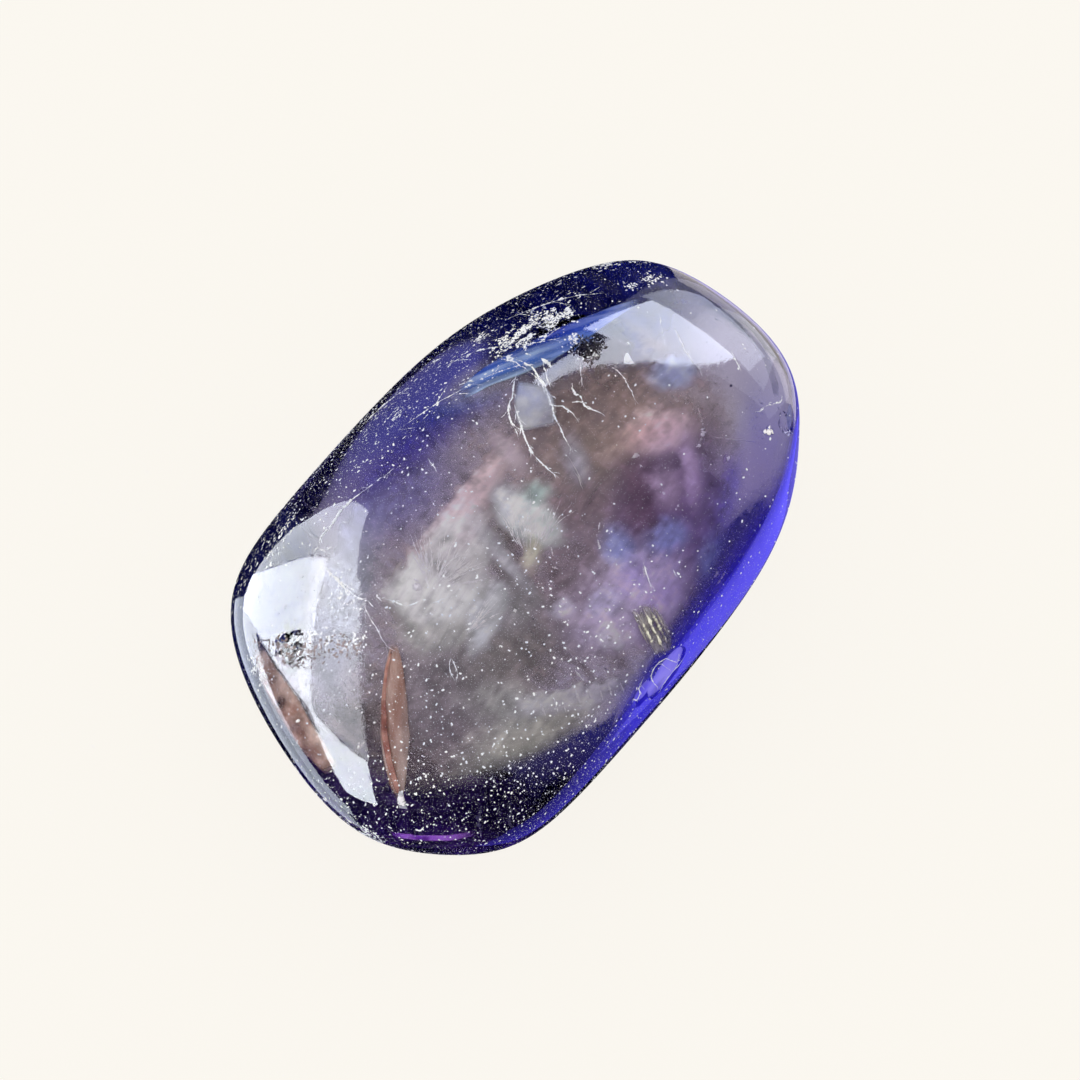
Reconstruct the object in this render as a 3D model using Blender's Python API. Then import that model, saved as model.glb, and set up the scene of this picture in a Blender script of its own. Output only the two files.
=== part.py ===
"""A tumbled iolite pebble, 29 mm long.

The stone is one solid. Tumbling has worn a blocky piece of rough until its
faces meet in soft ridges: a broad crown, a steep bevel along the far side, a
sloping end, and a domed underside with a small flat spot that it rests on.
The rim carries a shell shaped chip and a nick, and the crown has a few pits.
"""

import math

import bmesh
import bpy
from mathutils import Matrix, Vector

MM = 0.001

LENGTH = 29.0 * MM
WIDTH = 18.4 * MM
HEIGHT = 11.8 * MM

# How sharply the worn faces meet: a high value leaves crisp ridges.
RIDGE_CRISPNESS = 13.0

# The flat spot lies this far below the stone's centre, in millimetres.
SEAT_DEPTH = 5.6

# Waviness left by the tumbling, as a share of the radius.
WAVE = 0.0035

# Each worn face: the bearing of its outward direction from the +X end, its
# lean above the horizontal, and its distance from the centre in millimetres.
WORN_FACES = {
    "crown": (8, 88, 6.2),
    "crown end": (12, 75, 7.7),
    "crown tail": (180, 76, 7.3),
    "seat": (0, -90, 5.75),
    "right end": (-22, 2, 15.1),
    "top end": (4, -4, 15.9),
    "top nose": (28, -4, 16.6),
    "upper flank": (60, 0, 11.9),
    "bevel": (92, 6, 9.6),
    "near bevel": (90, 37, 8.5),
    "far bevel": (70, 40, 9.3),
    "left shoulder": (122, 4, 13.0),
    "left end": (144, 2, 14.3),
    "left slope": (174, 60, 9.4),
    "left corner": (142, 54, 9.2),
    "left cut": (162, -8, 13.4),
    "tail": (200, -6, 17.4),
    "lower tail": (222, 0, 14.2),
    "lower flank": (240, 2, 14.2),
    "right flank": (272, 4, 8.8),
    "rim": (300, 4, 11.6),
    "end slope": (8, 61, 9.6),
    "front slope": (264, 58, 7.5),
    "near underside": (262, -46, 8.5),
    "far underside": (84, -42, 8.5),
    "tail underside": (186, -38, 11.8),
    "nose underside": (8, -37, 12.4),
    "near belly": (298, -66, 6.7),
    "far belly": (118, -63, 6.8),
    "tail belly": (204, -62, 7.4),
    "nose belly": (28, -61, 7.6),
}

# Each bite out of the skin: a point near it in millimetres from the centre,
# its width along the skin and its depth, and how much longer it is than wide.
BITES = {
    "rim chip": ((-0.5, -8.7, 1.2), 2.7, 0.56, 1.0),
    "rim chip lip": ((-2.0, -8.7, 1.9), 1.5, 0.24, 1.0),
    "rim nick": ((10.6, -6.1, 4.3), 1.2, 0.22, 1.0),
    "crown pit": ((7.5, 2.4, 5.4), 1.3, 0.34, 1.15),
    "bevel scrape": ((7.4, 5.0, 5.0), 1.8, 0.22, 1.4),
    "left pit": ((-10.5, 3.6, 3.4), 1.5, 0.2, 1.3),
}

STONE_COLOUR = (0.16, 0.15, 0.42, 1.0)
STONE_ROUGHNESS = 0.06


def direction(bearing, lean):
    """The unit vector at a bearing and a lean, both in degrees."""
    b, l = math.radians(bearing), math.radians(lean)
    return Vector((math.cos(b) * math.cos(l), math.sin(b) * math.cos(l), math.sin(l)))


FACES = [(direction(b, l), d) for b, l, d in WORN_FACES.values()]


def worn_radius(ray):
    """Distance in millimetres from the centre to the worn skin along a ray."""
    total = sum(
        max(ray.dot(normal), 0.0) ** RIDGE_CRISPNESS / distance**RIDGE_CRISPNESS
        for normal, distance in FACES
    )
    return total ** (-1.0 / RIDGE_CRISPNESS)


def waviness(ray):
    """Slow swells over the skin, between about -1 and 1."""
    return (
        math.sin(7.0 * ray.x + 2.1)
        + math.sin(9.0 * ray.y - 5.0 * ray.x + 0.6)
        + math.sin(8.0 * ray.z + 6.0 * ray.y + 1.3)
    ) / 3.0


def skin(ray):
    """The point of the skin along a ray, in millimetres, with the seat flat."""
    point = ray * worn_radius(ray) * (1.0 + WAVE * waviness(ray))
    point.z = max(point.z, -SEAT_DEPTH)
    return point


def skin_normal(ray):
    """Outward normal of the skin along a ray, from two small steps beside it."""
    side = ray.orthogonal().normalized()
    across = ray.cross(side)
    step = 0.02
    a = skin((ray + side * step).normalized()) - skin((ray - side * step).normalized())
    b = skin((ray + across * step).normalized()) - skin((ray - across * step).normalized())
    normal = a.cross(b).normalized()
    return normal if normal.dot(ray) > 0 else -normal


def new_collection(name):
    collection = bpy.data.collections.new(name)
    bpy.context.scene.collection.children.link(collection)
    return collection


def ball_mesh(name, subdivisions):
    mesh = bpy.data.meshes.new(name)
    bm = bmesh.new()
    bmesh.ops.create_icosphere(bm, subdivisions=subdivisions, radius=1.0)
    bm.to_mesh(mesh)
    bm.free()
    return mesh


def iolite_material():
    material = bpy.data.materials.new("Iolite")
    material.use_nodes = True
    material.diffuse_color = STONE_COLOUR
    shader = material.node_tree.nodes["Principled BSDF"]
    shader.inputs["Base Color"].default_value = STONE_COLOUR
    shader.inputs["Roughness"].default_value = STONE_ROUGHNESS
    shader.inputs["Metallic"].default_value = 0.0
    shader.inputs["IOR"].default_value = 1.54
    shader.inputs["Transmission Weight"].default_value = 0.8
    return material


def worn_stone(collection, material):
    """The pebble, and the transform from its centre to the resting frame."""
    mesh = ball_mesh("iolite_pebble", 5)
    points = [skin(vertex.co.normalized()) for vertex in mesh.vertices]
    low = Vector(min(p[i] for p in points) for i in range(3))
    high = Vector(max(p[i] for p in points) for i in range(3))
    size = high - low
    scale = Vector((LENGTH / size.x, WIDTH / size.y, HEIGHT / size.z))
    middle = Vector(((low.x + high.x) / 2, (low.y + high.y) / 2, low.z))
    to_frame = Matrix.Diagonal(scale).to_4x4() @ Matrix.Translation(-middle)
    for vertex, point in zip(mesh.vertices, points):
        vertex.co = to_frame @ point
    mesh.materials.append(material)
    stone = bpy.data.objects.new("iolite_pebble", mesh)
    collection.objects.link(stone)
    return stone, to_frame


def bite_cutter(name, near, width, depth, stretch, to_frame, collection):
    """A ball, longer along X than wide, set so that it bites to the given depth."""
    ray = Vector(near).normalized()
    radius = (width**2 / 4 + depth**2) / (2 * depth)
    normal = skin_normal(ray)
    centre = skin(ray) + normal * (radius - depth)
    cutter = bpy.data.objects.new(name, ball_mesh(name, 4))
    turn = normal.to_track_quat("Z", "X").to_matrix().to_4x4()
    shape = Matrix.Diagonal(Vector((radius * stretch, radius, radius))).to_4x4()
    cutter.data.transform(to_frame @ Matrix.Translation(centre) @ turn @ shape)
    cutter.hide_render = True
    cutter.display_type = "WIRE"
    collection.objects.link(cutter)
    return cutter


def main():
    for obj in list(bpy.data.objects):
        bpy.data.objects.remove(obj, do_unlink=True)

    parts = new_collection("Iolite pebble")
    cutters = new_collection("Bite cutters")
    cutters.hide_render = True

    stone, to_frame = worn_stone(parts, iolite_material())
    for name, (near, width, depth, stretch) in BITES.items():
        cutter = bite_cutter(name, near, width, depth, stretch, to_frame, cutters)
        cut = stone.modifiers.new(name, "BOOLEAN")
        cut.operation = "DIFFERENCE"
        cut.solver = "EXACT"
        cut.object = cutter

    stone.data.shade_smooth()
    stone.data.set_sharp_from_angle(angle=math.radians(38))


main()
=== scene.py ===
import math

import bmesh
import bpy
import numpy as np
from mathutils import Matrix, Vector, noise


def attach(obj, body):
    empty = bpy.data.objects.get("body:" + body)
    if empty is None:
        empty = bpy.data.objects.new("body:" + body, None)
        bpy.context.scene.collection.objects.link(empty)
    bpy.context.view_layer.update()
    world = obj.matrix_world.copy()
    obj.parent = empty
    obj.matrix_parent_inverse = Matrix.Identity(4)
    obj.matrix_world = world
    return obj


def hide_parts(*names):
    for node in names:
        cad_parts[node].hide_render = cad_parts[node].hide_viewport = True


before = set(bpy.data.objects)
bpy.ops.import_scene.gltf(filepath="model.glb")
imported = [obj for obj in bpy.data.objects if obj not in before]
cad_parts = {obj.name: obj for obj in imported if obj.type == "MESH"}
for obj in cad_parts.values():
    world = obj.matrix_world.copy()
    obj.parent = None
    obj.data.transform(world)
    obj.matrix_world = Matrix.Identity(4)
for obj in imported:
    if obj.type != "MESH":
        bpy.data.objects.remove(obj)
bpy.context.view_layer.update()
noise.seed_set(7)  # the threads sway by it, the same each run
print("frame loaded")

mm = 0.001
refraction = 1.54  # iolite bends light this much

# the worn form of the pebble, the same faces and bites as its source
pebbleForm = {
    "length": 29.0, "width": 18.4, "height": 11.8,  # mm
    "ridgeCrispness": 13.0, "seatDepth": 5.6, "wave": 0.0035,
    # bearing, lean, distance from the centre in mm
    "faces": {
        "crown": (8, 88, 6.2), "crownEnd": (12, 75, 7.7), "crownTail": (180, 76, 7.3), "seat": (0, -90, 5.75),
        "rightEnd": (-22, 2, 15.1), "topEnd": (4, -4, 15.9), "topNose": (28, -4, 16.6), "upperFlank": (60, 0, 11.9),
        "bevel": (92, 6, 9.6), "nearBevel": (90, 37, 8.5), "farBevel": (70, 40, 9.3), "leftShoulder": (122, 4, 13.0),
        "leftEnd": (144, 2, 14.3), "leftSlope": (174, 60, 9.4), "leftCorner": (142, 54, 9.2),
        "leftCut": (162, -8, 13.4),
        "tail": (200, -6, 17.4), "lowerTail": (222, 0, 14.2), "lowerFlank": (240, 2, 14.2),
        "rightFlank": (272, 4, 8.8),
        "rim": (300, 4, 11.6), "endSlope": (8, 61, 9.6), "frontSlope": (264, 58, 7.5),
        "nearUnderside": (262, -46, 8.5), "farUnderside": (84, -42, 8.5), "tailUnderside": (186, -38, 11.8),
        "noseUnderside": (8, -37, 12.4), "nearBelly": (298, -66, 6.7), "farBelly": (118, -63, 6.8),
        "tailBelly": (204, -62, 7.4), "noseBelly": (28, -61, 7.6),
    },
    # a point near each bite, its width, depth and stretch, the shell ripples in its floor and how ragged it is
    "bites": {
        "rimChip": ((-0.5, -8.7, 1.2), 2.7, 0.56, 1.0, 0.06, 0.02),
        "rimChipLip": ((-2.0, -8.7, 1.9), 1.5, 0.24, 1.0, 0.05, 0.04),
        "rimNick": ((10.6, -6.1, 4.3), 1.2, 0.22, 1.0, 0.02, 0.12),
        "crownPit": ((7.5, 2.4, 5.4), 1.3, 0.3, 1.15, 0.0, 0.22),
        "bevelScrape": ((7.4, 5.0, 5.0), 1.8, 0.16, 1.4, 0.0, 0.3),
        "leftPit": ((-10.5, 3.6, 3.4), 1.4, 0.1, 1.5, 0.0, 0.34),
    },
    "skinLevels": 7, "biteLevels": 6,
}


def heading(bearing, lean):
    b, l = math.radians(bearing), math.radians(lean)
    return (math.cos(b) * math.cos(l), math.sin(b) * math.cos(l), math.sin(l))


faceNormals = np.array([heading(b, l) for b, l, d in pebbleForm["faces"].values()])
faceReach = np.array([d for b, l, d in pebbleForm["faces"].values()])


def skinPoints(rays):
    # where rays from the centre leave the worn stone, in mm from the centre
    crisp = pebbleForm["ridgeCrispness"]
    share = np.maximum(rays @ faceNormals.T, 0.0) / faceReach
    radius = (share ** crisp).sum(axis=1) ** (-1.0 / crisp)
    x, y, z = rays.T
    swell = (np.sin(7.0 * x + 2.1) + np.sin(9.0 * y - 5.0 * x + 0.6) + np.sin(8.0 * z + 6.0 * y + 1.3)) / 3.0
    points = rays * (radius * (1.0 + pebbleForm["wave"] * swell))[:, None]
    points[:, 2] = np.maximum(points[:, 2], -pebbleForm["seatDepth"])
    return points


def skinNormals(points):
    crisp = pebbleForm["ridgeCrispness"]
    share = np.maximum(points @ faceNormals.T, 0.0) / faceReach
    lean = (share ** (crisp - 1)) @ (faceNormals / faceReach[:, None])
    return lean / np.linalg.norm(lean, axis=1)[:, None]


def unit(rows):
    rows = np.atleast_2d(np.array(rows, dtype=float))
    return rows / np.linalg.norm(rows, axis=1)[:, None]


def fitToFrame():
    # the same stretch and shift that seat the source's coarse ball in the frame
    bm = bmesh.new()
    bmesh.ops.create_icosphere(bm, subdivisions=5, radius=1.0)
    points = skinPoints(unit([v.co for v in bm.verts]))
    bm.free()
    low, high = points.min(axis=0), points.max(axis=0)
    size = np.array([pebbleForm["length"], pebbleForm["width"], pebbleForm["height"]])
    stretch = size / (high - low)
    middle = np.array([(low[0] + high[0]) / 2, (low[1] + high[1]) / 2, low[2]])
    return stretch * mm, middle


stretchToFrame, stoneMiddle = fitToFrame()


def toFrame(points):
    return (np.atleast_2d(points) - stoneMiddle) * stretchToFrame


def fromFrame(points):
    return np.atleast_2d(points) / stretchToFrame + stoneMiddle


def meshFrom(name, bm):
    mesh = bpy.data.meshes.new(name)
    bm.to_mesh(mesh)
    bm.free()
    return mesh


def addObject(name, mesh):
    obj = bpy.data.objects.new(name, mesh)
    bpy.context.scene.collection.objects.link(obj)
    return obj


def moveVerts(mesh, points):
    mesh.vertices.foreach_set("co", np.asarray(points, dtype=np.float32).ravel())
    mesh.update()


def vertArray(mesh):
    flat = np.empty(len(mesh.vertices) * 3, dtype=np.float32)
    mesh.vertices.foreach_get("co", flat)
    return flat.reshape(-1, 3).astype(float)


def finishedMesh(obj):
    bpy.context.view_layer.update()
    return bpy.data.meshes.new_from_object(obj.evaluated_get(bpy.context.evaluated_depsgraph_get()))


def biteCutter(name, near, width, depth, stretch, ripple, ragged):
    ray = unit([near])
    normal = Vector(skinNormals(skinPoints(ray))[0])
    radius = (width ** 2 / 4 + depth ** 2) / (2 * depth)
    centre = Vector(skinPoints(ray)[0]) + normal * (radius - depth)
    bm = bmesh.new()
    bmesh.ops.create_icosphere(bm, subdivisions=pebbleForm["biteLevels"], radius=1.0)
    for v in bm.verts:  # shell ripples run in rings from the point that was struck, and a scrape is broken all over
        fromStrike = math.hypot(v.co.x - 0.12, v.co.y - 0.05) * radius / width
        rings = ripple * depth / radius * math.sin(fromStrike * 30.0) * (v.co.z < 0)
        rubble = noise.fractal(v.co * (radius / width * 3.2) + Vector((near[0], 0, 0)), 0.7, 2.1, 5)
        broken = ragged * depth / radius * 3.0 * rubble
        v.co *= 1.0 + rings + broken
    turn = normal.to_track_quat("Z", "X").to_matrix().to_4x4()
    swollen = Matrix.Diagonal((radius * stretch, radius, radius, 1.0))
    bmesh.ops.transform(bm, matrix=Matrix.Translation(centre) @ turn @ swollen, verts=bm.verts)
    mesh = meshFrom(name, bm)
    moveVerts(mesh, toFrame(vertArray(mesh)))
    return mesh


def wornPebble():
    bm = bmesh.new()
    bmesh.ops.create_icosphere(bm, subdivisions=pebbleForm["skinLevels"], radius=1.0)
    mesh = meshFrom("iolitePebble", bm)
    moveVerts(mesh, toFrame(skinPoints(unit(vertArray(mesh)))))
    pebble = addObject("iolitePebble", mesh)
    for name, bite in pebbleForm["bites"].items():
        cutter = addObject(name, biteCutter(name, *bite))
        cut = pebble.modifiers.new(name, "BOOLEAN")
        cut.object = cutter
        cut.operation = "DIFFERENCE"
        cut.solver = "EXACT"
    carved = finishedMesh(pebble)
    pebble.modifiers.clear()
    pebble.data = carved
    for name in pebbleForm["bites"]:
        bpy.data.objects.remove(bpy.data.objects[name])
    carved.shade_smooth()
    carved.set_sharp_from_angle(angle=math.radians(34))
    return pebble


pebble = wornPebble()
print("pebble carved", len(pebble.data.vertices), "points")


# the photograph's view: the camera stands here, and what is seen at a spot of the picture is placed from here
view = {
    "azimuth": -50.0, "elevation": 68.0, "away": 0.131, "right": 0.00096, "up": 0.00057,  # degrees and metres
    "lens": 100.0, "film": 36.0, "nearest": 0.002, "picture": 1080.0, "stoneMiddle": (518, 553),  # mm, metres and px
}


def viewAxes():
    a, e = math.radians(view["azimuth"]), math.radians(view["elevation"])
    back = Vector((math.sin(a) * math.cos(e), -math.cos(a) * math.cos(e), math.sin(e)))
    right = Vector((math.cos(a), math.sin(a), 0.0))
    up = back.cross(right)
    aim = Vector(toFrame([[0, 0, 0]])[0]) + right * view["right"] + up * view["up"]
    return aim + back * view["away"], right, up, back


eye, viewRight, viewUp, viewBack = viewAxes()
focus = view["lens"] / view["film"] * view["picture"]
bpy.context.view_layer.update()
solidPebble = pebble.evaluated_get(bpy.context.evaluated_depsgraph_get())


def toPicture(points):
    offset = points - np.array(eye)
    away = -(offset @ np.array(viewBack))
    half = view["picture"] / 2
    return half + focus * (offset @ np.array(viewRight)) / away, half - focus * (offset @ np.array(viewUp)) / away


def skinAt(x, y):
    # the skin under a spot of the picture, or the nearest skin to a spot just outside the stone
    half = view["picture"] / 2
    middleX, middleY = view["stoneMiddle"]
    for _ in range(60):
        ray = (viewRight * (x - half) / focus + viewUp * (half - y) / focus - viewBack).normalized()
        hit, place, normal, _ = solidPebble.ray_cast(eye, ray)
        if hit:
            return place, normal, ray
        x, y = x + (middleX - x) * 0.01, y + (middleY - y) * 0.01
    return None


def insideAt(x, y, depth):
    # the same line of sight bent by the stone and followed depth mm in
    place, normal, ray = skinAt(x, y)
    bend = 1.0 / refraction
    lean = -ray.dot(normal)
    bent = ray * bend + normal * (bend * lean - math.sqrt(max(0.0, 1.0 - bend * bend * (1.0 - lean * lean))))
    return place + bent.normalized() * depth * mm


def nodeTree(material):
    material.use_nodes = True
    tree = material.node_tree
    tree.nodes.clear()
    return tree


def addNode(tree, kind, place=(0, 0), **settings):
    node = tree.nodes.new(kind)
    node.location = place
    for key, value in settings.items():
        setattr(node, key, value)
    return node


def link(tree, source, target):
    tree.links.new(source, target)


def attributeNode(tree, name, place=(0, 0)):
    return addNode(tree, "ShaderNodeAttribute", place, attribute_name=name, attribute_type="GEOMETRY")


def rampNode(tree, stops, place=(0, 0)):
    ramp = addNode(tree, "ShaderNodeValToRGB", place)
    ramp.color_ramp.interpolation = "EASE"
    while len(ramp.color_ramp.elements) < len(stops):
        ramp.color_ramp.elements.new(0.5)
    for element, (spot, colour) in zip(ramp.color_ramp.elements, stops):
        element.position = spot
        element.color = (*colour, 1.0)
    return ramp


def noiseNode(tree, scale, detail, place=(0, 0), stretch=(1.0, 1.0, 1.0), turn=(0.0, 0.0, 0.0)):
    where = addNode(tree, "ShaderNodeTexCoord", (place[0] - 400, place[1]))
    # turned first, then stretched
    lay = addNode(tree, "ShaderNodeMapping", (place[0] - 200, place[1]), vector_type="TEXTURE")
    lay.inputs["Scale"].default_value = [1.0 / part for part in stretch]
    lay.inputs["Rotation"].default_value = turn
    grain = addNode(tree, "ShaderNodeTexNoise", place)
    grain.inputs["Scale"].default_value = scale
    grain.inputs["Detail"].default_value = detail
    link(tree, where.outputs["Object"], lay.inputs["Vector"])
    link(tree, lay.outputs["Vector"], grain.inputs["Vector"])
    return grain


def rangeNode(tree, source, low, high, toLow, toHigh, place=(0, 0)):
    span = addNode(tree, "ShaderNodeMapRange", place)
    for label, value in {"From Min": low, "From Max": high, "To Min": toLow, "To Max": toHigh}.items():
        span.inputs[label].default_value = value
    link(tree, source, span.inputs["Value"])
    return span


def floatAttribute(mesh, name, values):
    layer = mesh.attributes.new(name, "FLOAT", "POINT")
    layer.data.foreach_set("value", np.asarray(values, dtype=np.float32))


def colourAttribute(mesh, name, values):
    layer = mesh.attributes.new(name, "FLOAT_COLOR", "POINT")
    rows = np.ones((len(values), 4), dtype=np.float32)
    rows[:, :3] = values
    layer.data.foreach_set("color", rows.ravel())


def smoothStep(low, high, values):
    t = np.clip((values - low) / (high - low), 0.0, 1.0)
    return t * t * (3.0 - 2.0 * t)


def softSpot(px, py, x, y, along, across, turn=0.0, edge=0.6):
    # 1 in the middle of a turned oval of the picture, fading to 0 round its edge
    t = math.radians(turn)
    u = ((px - x) * math.cos(t) - (py - y) * math.sin(t)) / along
    v = ((px - x) * math.sin(t) + (py - y) * math.cos(t)) / across
    return 1.0 - smoothStep(1.0 - edge, 1.0 + edge, np.sqrt(u * u + v * v))


def rideStone(piece):
    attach(piece, "root")


# what is seen through the crown, the flanks and the ends: smoky lilac, violet blue and navy
iolite = {
    "roughness": 0.03, "scuffed": 0.34, "dullBelly": 0.7, "mottling": 0.35,
    "cloudScale": 420.0, "grainScale": 5200.0, "bumpStrength": 0.03, "bumpHeight": 0.00002,
    "absorbColour": (0.470, 0.430, 0.620), "absorbDensity": 176.0,  # per metre
    "crown": (0.98, 0.96, 0.92), "shoulder": (0.58, 0.54, 0.84), "side": (0.26, 0.22, 1.0),
    "belly": (0.88, 0.86, 0.90),
    # where the left end is dulled: spot of the picture, reach along and across, turn, strength
    "smudges": {
        "wholeEnd": (312, 640, 80, 110, 0, 0.42), "crossbar": (288, 605, 26, 4, 38, 0.9),
        "right": (346, 592, 26, 44, 0, 0.34), "break": (322, 650, 62, 9, -6, 0.7),
        "top": (300, 548, 50, 16, 30, 0.3), "lobe": (346, 690, 18, 14, 0, 0.5), "tip": (300, 700, 12, 20, -40, 0.4),
    },
    # colour zones: spot of the picture, reach along and across, turn, strength, colour
    "zones": {
        "blueShoulder": (392, 488, 60, 42, 40, 0.6, (0.46, 0.44, 0.86)),
        "purpleShoulder": (405, 440, 100, 26, 42, 0.8, (0.26, 0.17, 0.58)),
        "navyBevel": (470, 366, 225, 44, 35, 1.0, (0.05, 0.06, 0.64)),
        # painted reflection: the blue and the near-white streaks tint the skin along the bevel ridge where it mirrors
        # the light
        "blueSheenStreak": (545, 357, 100, 13, 28, 0.75, (0.14, 0.32, 1.0)),
        "skySheenStreak": (512, 370, 56, 16, 24, 1.0, (0.90, 0.96, 1.0)),
        "lilacTail": (535, 408, 24, 28, 0, 0.8, (0.92, 0.93, 1.0)),
        "warmBrown": (612, 408, 80, 40, 10, 0.6, (0.84, 0.75, 0.60)),
        "olive": (600, 455, 46, 28, 0, 0.5, (0.78, 0.76, 0.58)),
        "rose": (658, 432, 32, 20, 20, 0.6, (1.0, 0.80, 0.80)),
        "lilacPatch": (673, 372, 24, 16, 0, 0.5, (0.52, 0.54, 0.98)),
        "violetRight": (700, 530, 70, 84, 0, 0.65, (0.56, 0.46, 0.90)),
        "violetLow": (628, 604, 62, 42, 30, 0.4, (0.84, 0.76, 1.0)),
        "blueEnd": (768, 412, 24, 58, 0, 0.85, (0.30, 0.34, 0.92)),
        "endDusk": (740, 344, 74, 46, -50, 0.8, (0.44, 0.42, 0.60)),
        "violetEnd": (748, 505, 30, 84, -14, 0.75, (0.34, 0.26, 0.88)),
        # the wedge across the middle is painted shadow: a grey tint on the skin
        "shadowWedge": (506, 560, 50, 14, -52, 0.3, (0.66, 0.64, 0.66)),
        "smokeLow": (432, 722, 50, 66, 0, 0.6, (0.50, 0.46, 0.50)),
        "plumBrown": (668, 490, 56, 44, 40, 0.4, (0.66, 0.56, 0.68)),
        "haze": (546, 736, 66, 30, 16, 0.5, (0.86, 0.86, 0.76)),
        "topBlue": (548, 290, 80, 17, 30, 0.8, (0.22, 0.28, 0.86)),
        # the lower rim of the crown is tinted near black as painted shade
        "bottomShade": (496, 812, 140, 36, 18, 1.0, (0.06, 0.05, 0.14)),
        "bottomViolet": (410, 832, 62, 12, -8, 0.95, (0.60, 0.30, 1.0)),
        "tanRim": (290, 722, 50, 11, -60, 0.5, (0.80, 0.60, 0.52)),
    },
}


def spotSum(px, py, spots):
    total = np.zeros(len(px))
    for x, y, along, across, turn, amount in spots.values():
        total = np.maximum(total, amount * softSpot(px, py, x, y, along, across, turn))
    return total


def pebbleAttributes(mesh):
    places = vertArray(mesh)
    points = fromFrame(places)
    normals = skinNormals(points)
    px, py = toPicture(places)
    facing = smoothStep(-0.1, 0.15, normals @ np.array(viewBack))
    upward = np.abs(normals[:, 2])[:, None]
    crown, shoulder, side, belly = [np.array(iolite[part]) for part in ("crown", "shoulder", "side", "belly")]
    tint = side + (shoulder - side) * smoothStep(0.05, 0.55, upward)
    tint = tint + (crown - tint) * smoothStep(0.45, 0.95, upward)
    tint = tint + (belly - tint) * (smoothStep(0.6, 0.95, upward[:, 0]) * (normals[:, 2] < 0))[:, None]
    for x, y, along, across, turn, amount, colour in iolite["zones"].values():
        share = amount * facing * softSpot(px, py, x, y, along, across, turn)
        tint = tint + (np.array(colour) - tint) * share[:, None]
    colourAttribute(mesh, "tint", np.clip(tint, 0.0, 1.0))
    under = smoothStep(0.1, 0.6, -normals[:, 2])
    dulled = spotSum(px, py, frost["patches"]) / frost["most"] + spotSum(px, py, iolite["smudges"])
    floatAttribute(mesh, "frost", facing * dulled + iolite["dullBelly"] * under)
    return px, py, facing


def ioliteMaterial():
    material = bpy.data.materials.new("iolite")
    tree = nodeTree(material)
    out = addNode(tree, "ShaderNodeOutputMaterial", (900, 0))
    stone = addNode(tree, "ShaderNodeBsdfPrincipled", (600, 0))
    inside = addNode(tree, "ShaderNodeVolumeAbsorption", (600, -500))
    stone.inputs["IOR"].default_value = refraction
    stone.inputs["Transmission Weight"].default_value = 1.0
    inside.inputs["Color"].default_value = (*iolite["absorbColour"], 1.0)
    inside.inputs["Density"].default_value = iolite["absorbDensity"]
    tint = attributeNode(tree, "tint", (-300, 300))
    clouds = noiseNode(tree, iolite["cloudScale"], 6.0, (-500, 0), stretch=(0.6, 1.0, 1.0), turn=(0.0, 0.0, 0.5))
    mottle = rampNode(tree, [(0.3, (0.62, 0.60, 0.68)), (0.5, (0.92, 0.90, 0.92)), (0.7, (1.0, 0.98, 0.96))],
        (-250, 0))
    link(tree, clouds.outputs["Fac"], mottle.inputs["Fac"])
    body = addNode(tree, "ShaderNodeMix", (100, 200), data_type="RGBA", blend_type="MULTIPLY")
    body.inputs["Factor"].default_value = iolite["mottling"]
    link(tree, tint.outputs["Color"], body.inputs["A"])
    link(tree, mottle.outputs["Color"], body.inputs["B"])
    link(tree, body.outputs["Result"], stone.inputs["Base Color"])
    worn = attributeNode(tree, "frost", (-300, -300))
    grain = noiseNode(tree, iolite["grainScale"], 3.0, (-500, -500))
    scuff = addNode(tree, "ShaderNodeMath", (-50, -300), operation="MULTIPLY")
    scratched = rangeNode(tree, grain.outputs["Fac"], 0.4, 0.65, 0.0, iolite["scuffed"], (-250, -500))
    link(tree, worn.outputs["Fac"], scuff.inputs[0])
    link(tree, scratched.outputs["Result"], scuff.inputs[1])
    polish = addNode(tree, "ShaderNodeMath", (150, -300), operation="ADD")
    smoothest, dullest = iolite["roughness"] * 0.7, iolite["roughness"] * 1.6
    gloss = rangeNode(tree, clouds.outputs["Fac"], 0.3, 0.7, smoothest, dullest, (-50, -150))
    link(tree, scuff.outputs["Value"], polish.inputs[0])
    link(tree, gloss.outputs["Result"], polish.inputs[1])
    link(tree, polish.outputs["Value"], stone.inputs["Roughness"])
    relief = addNode(tree, "ShaderNodeBump", (300, -500))
    relief.inputs["Strength"].default_value = iolite["bumpStrength"]
    relief.inputs["Distance"].default_value = iolite["bumpHeight"]
    link(tree, grain.outputs["Fac"], relief.inputs["Height"])
    link(tree, relief.outputs["Normal"], stone.inputs["Normal"])
    link(tree, stone.outputs["BSDF"], out.inputs["Surface"])
    link(tree, inside.outputs["Volume"], out.inputs["Volume"])
    return material


mineralBump = {"strength": 0.25, "height": 0.00005}  # the height in metres


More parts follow.
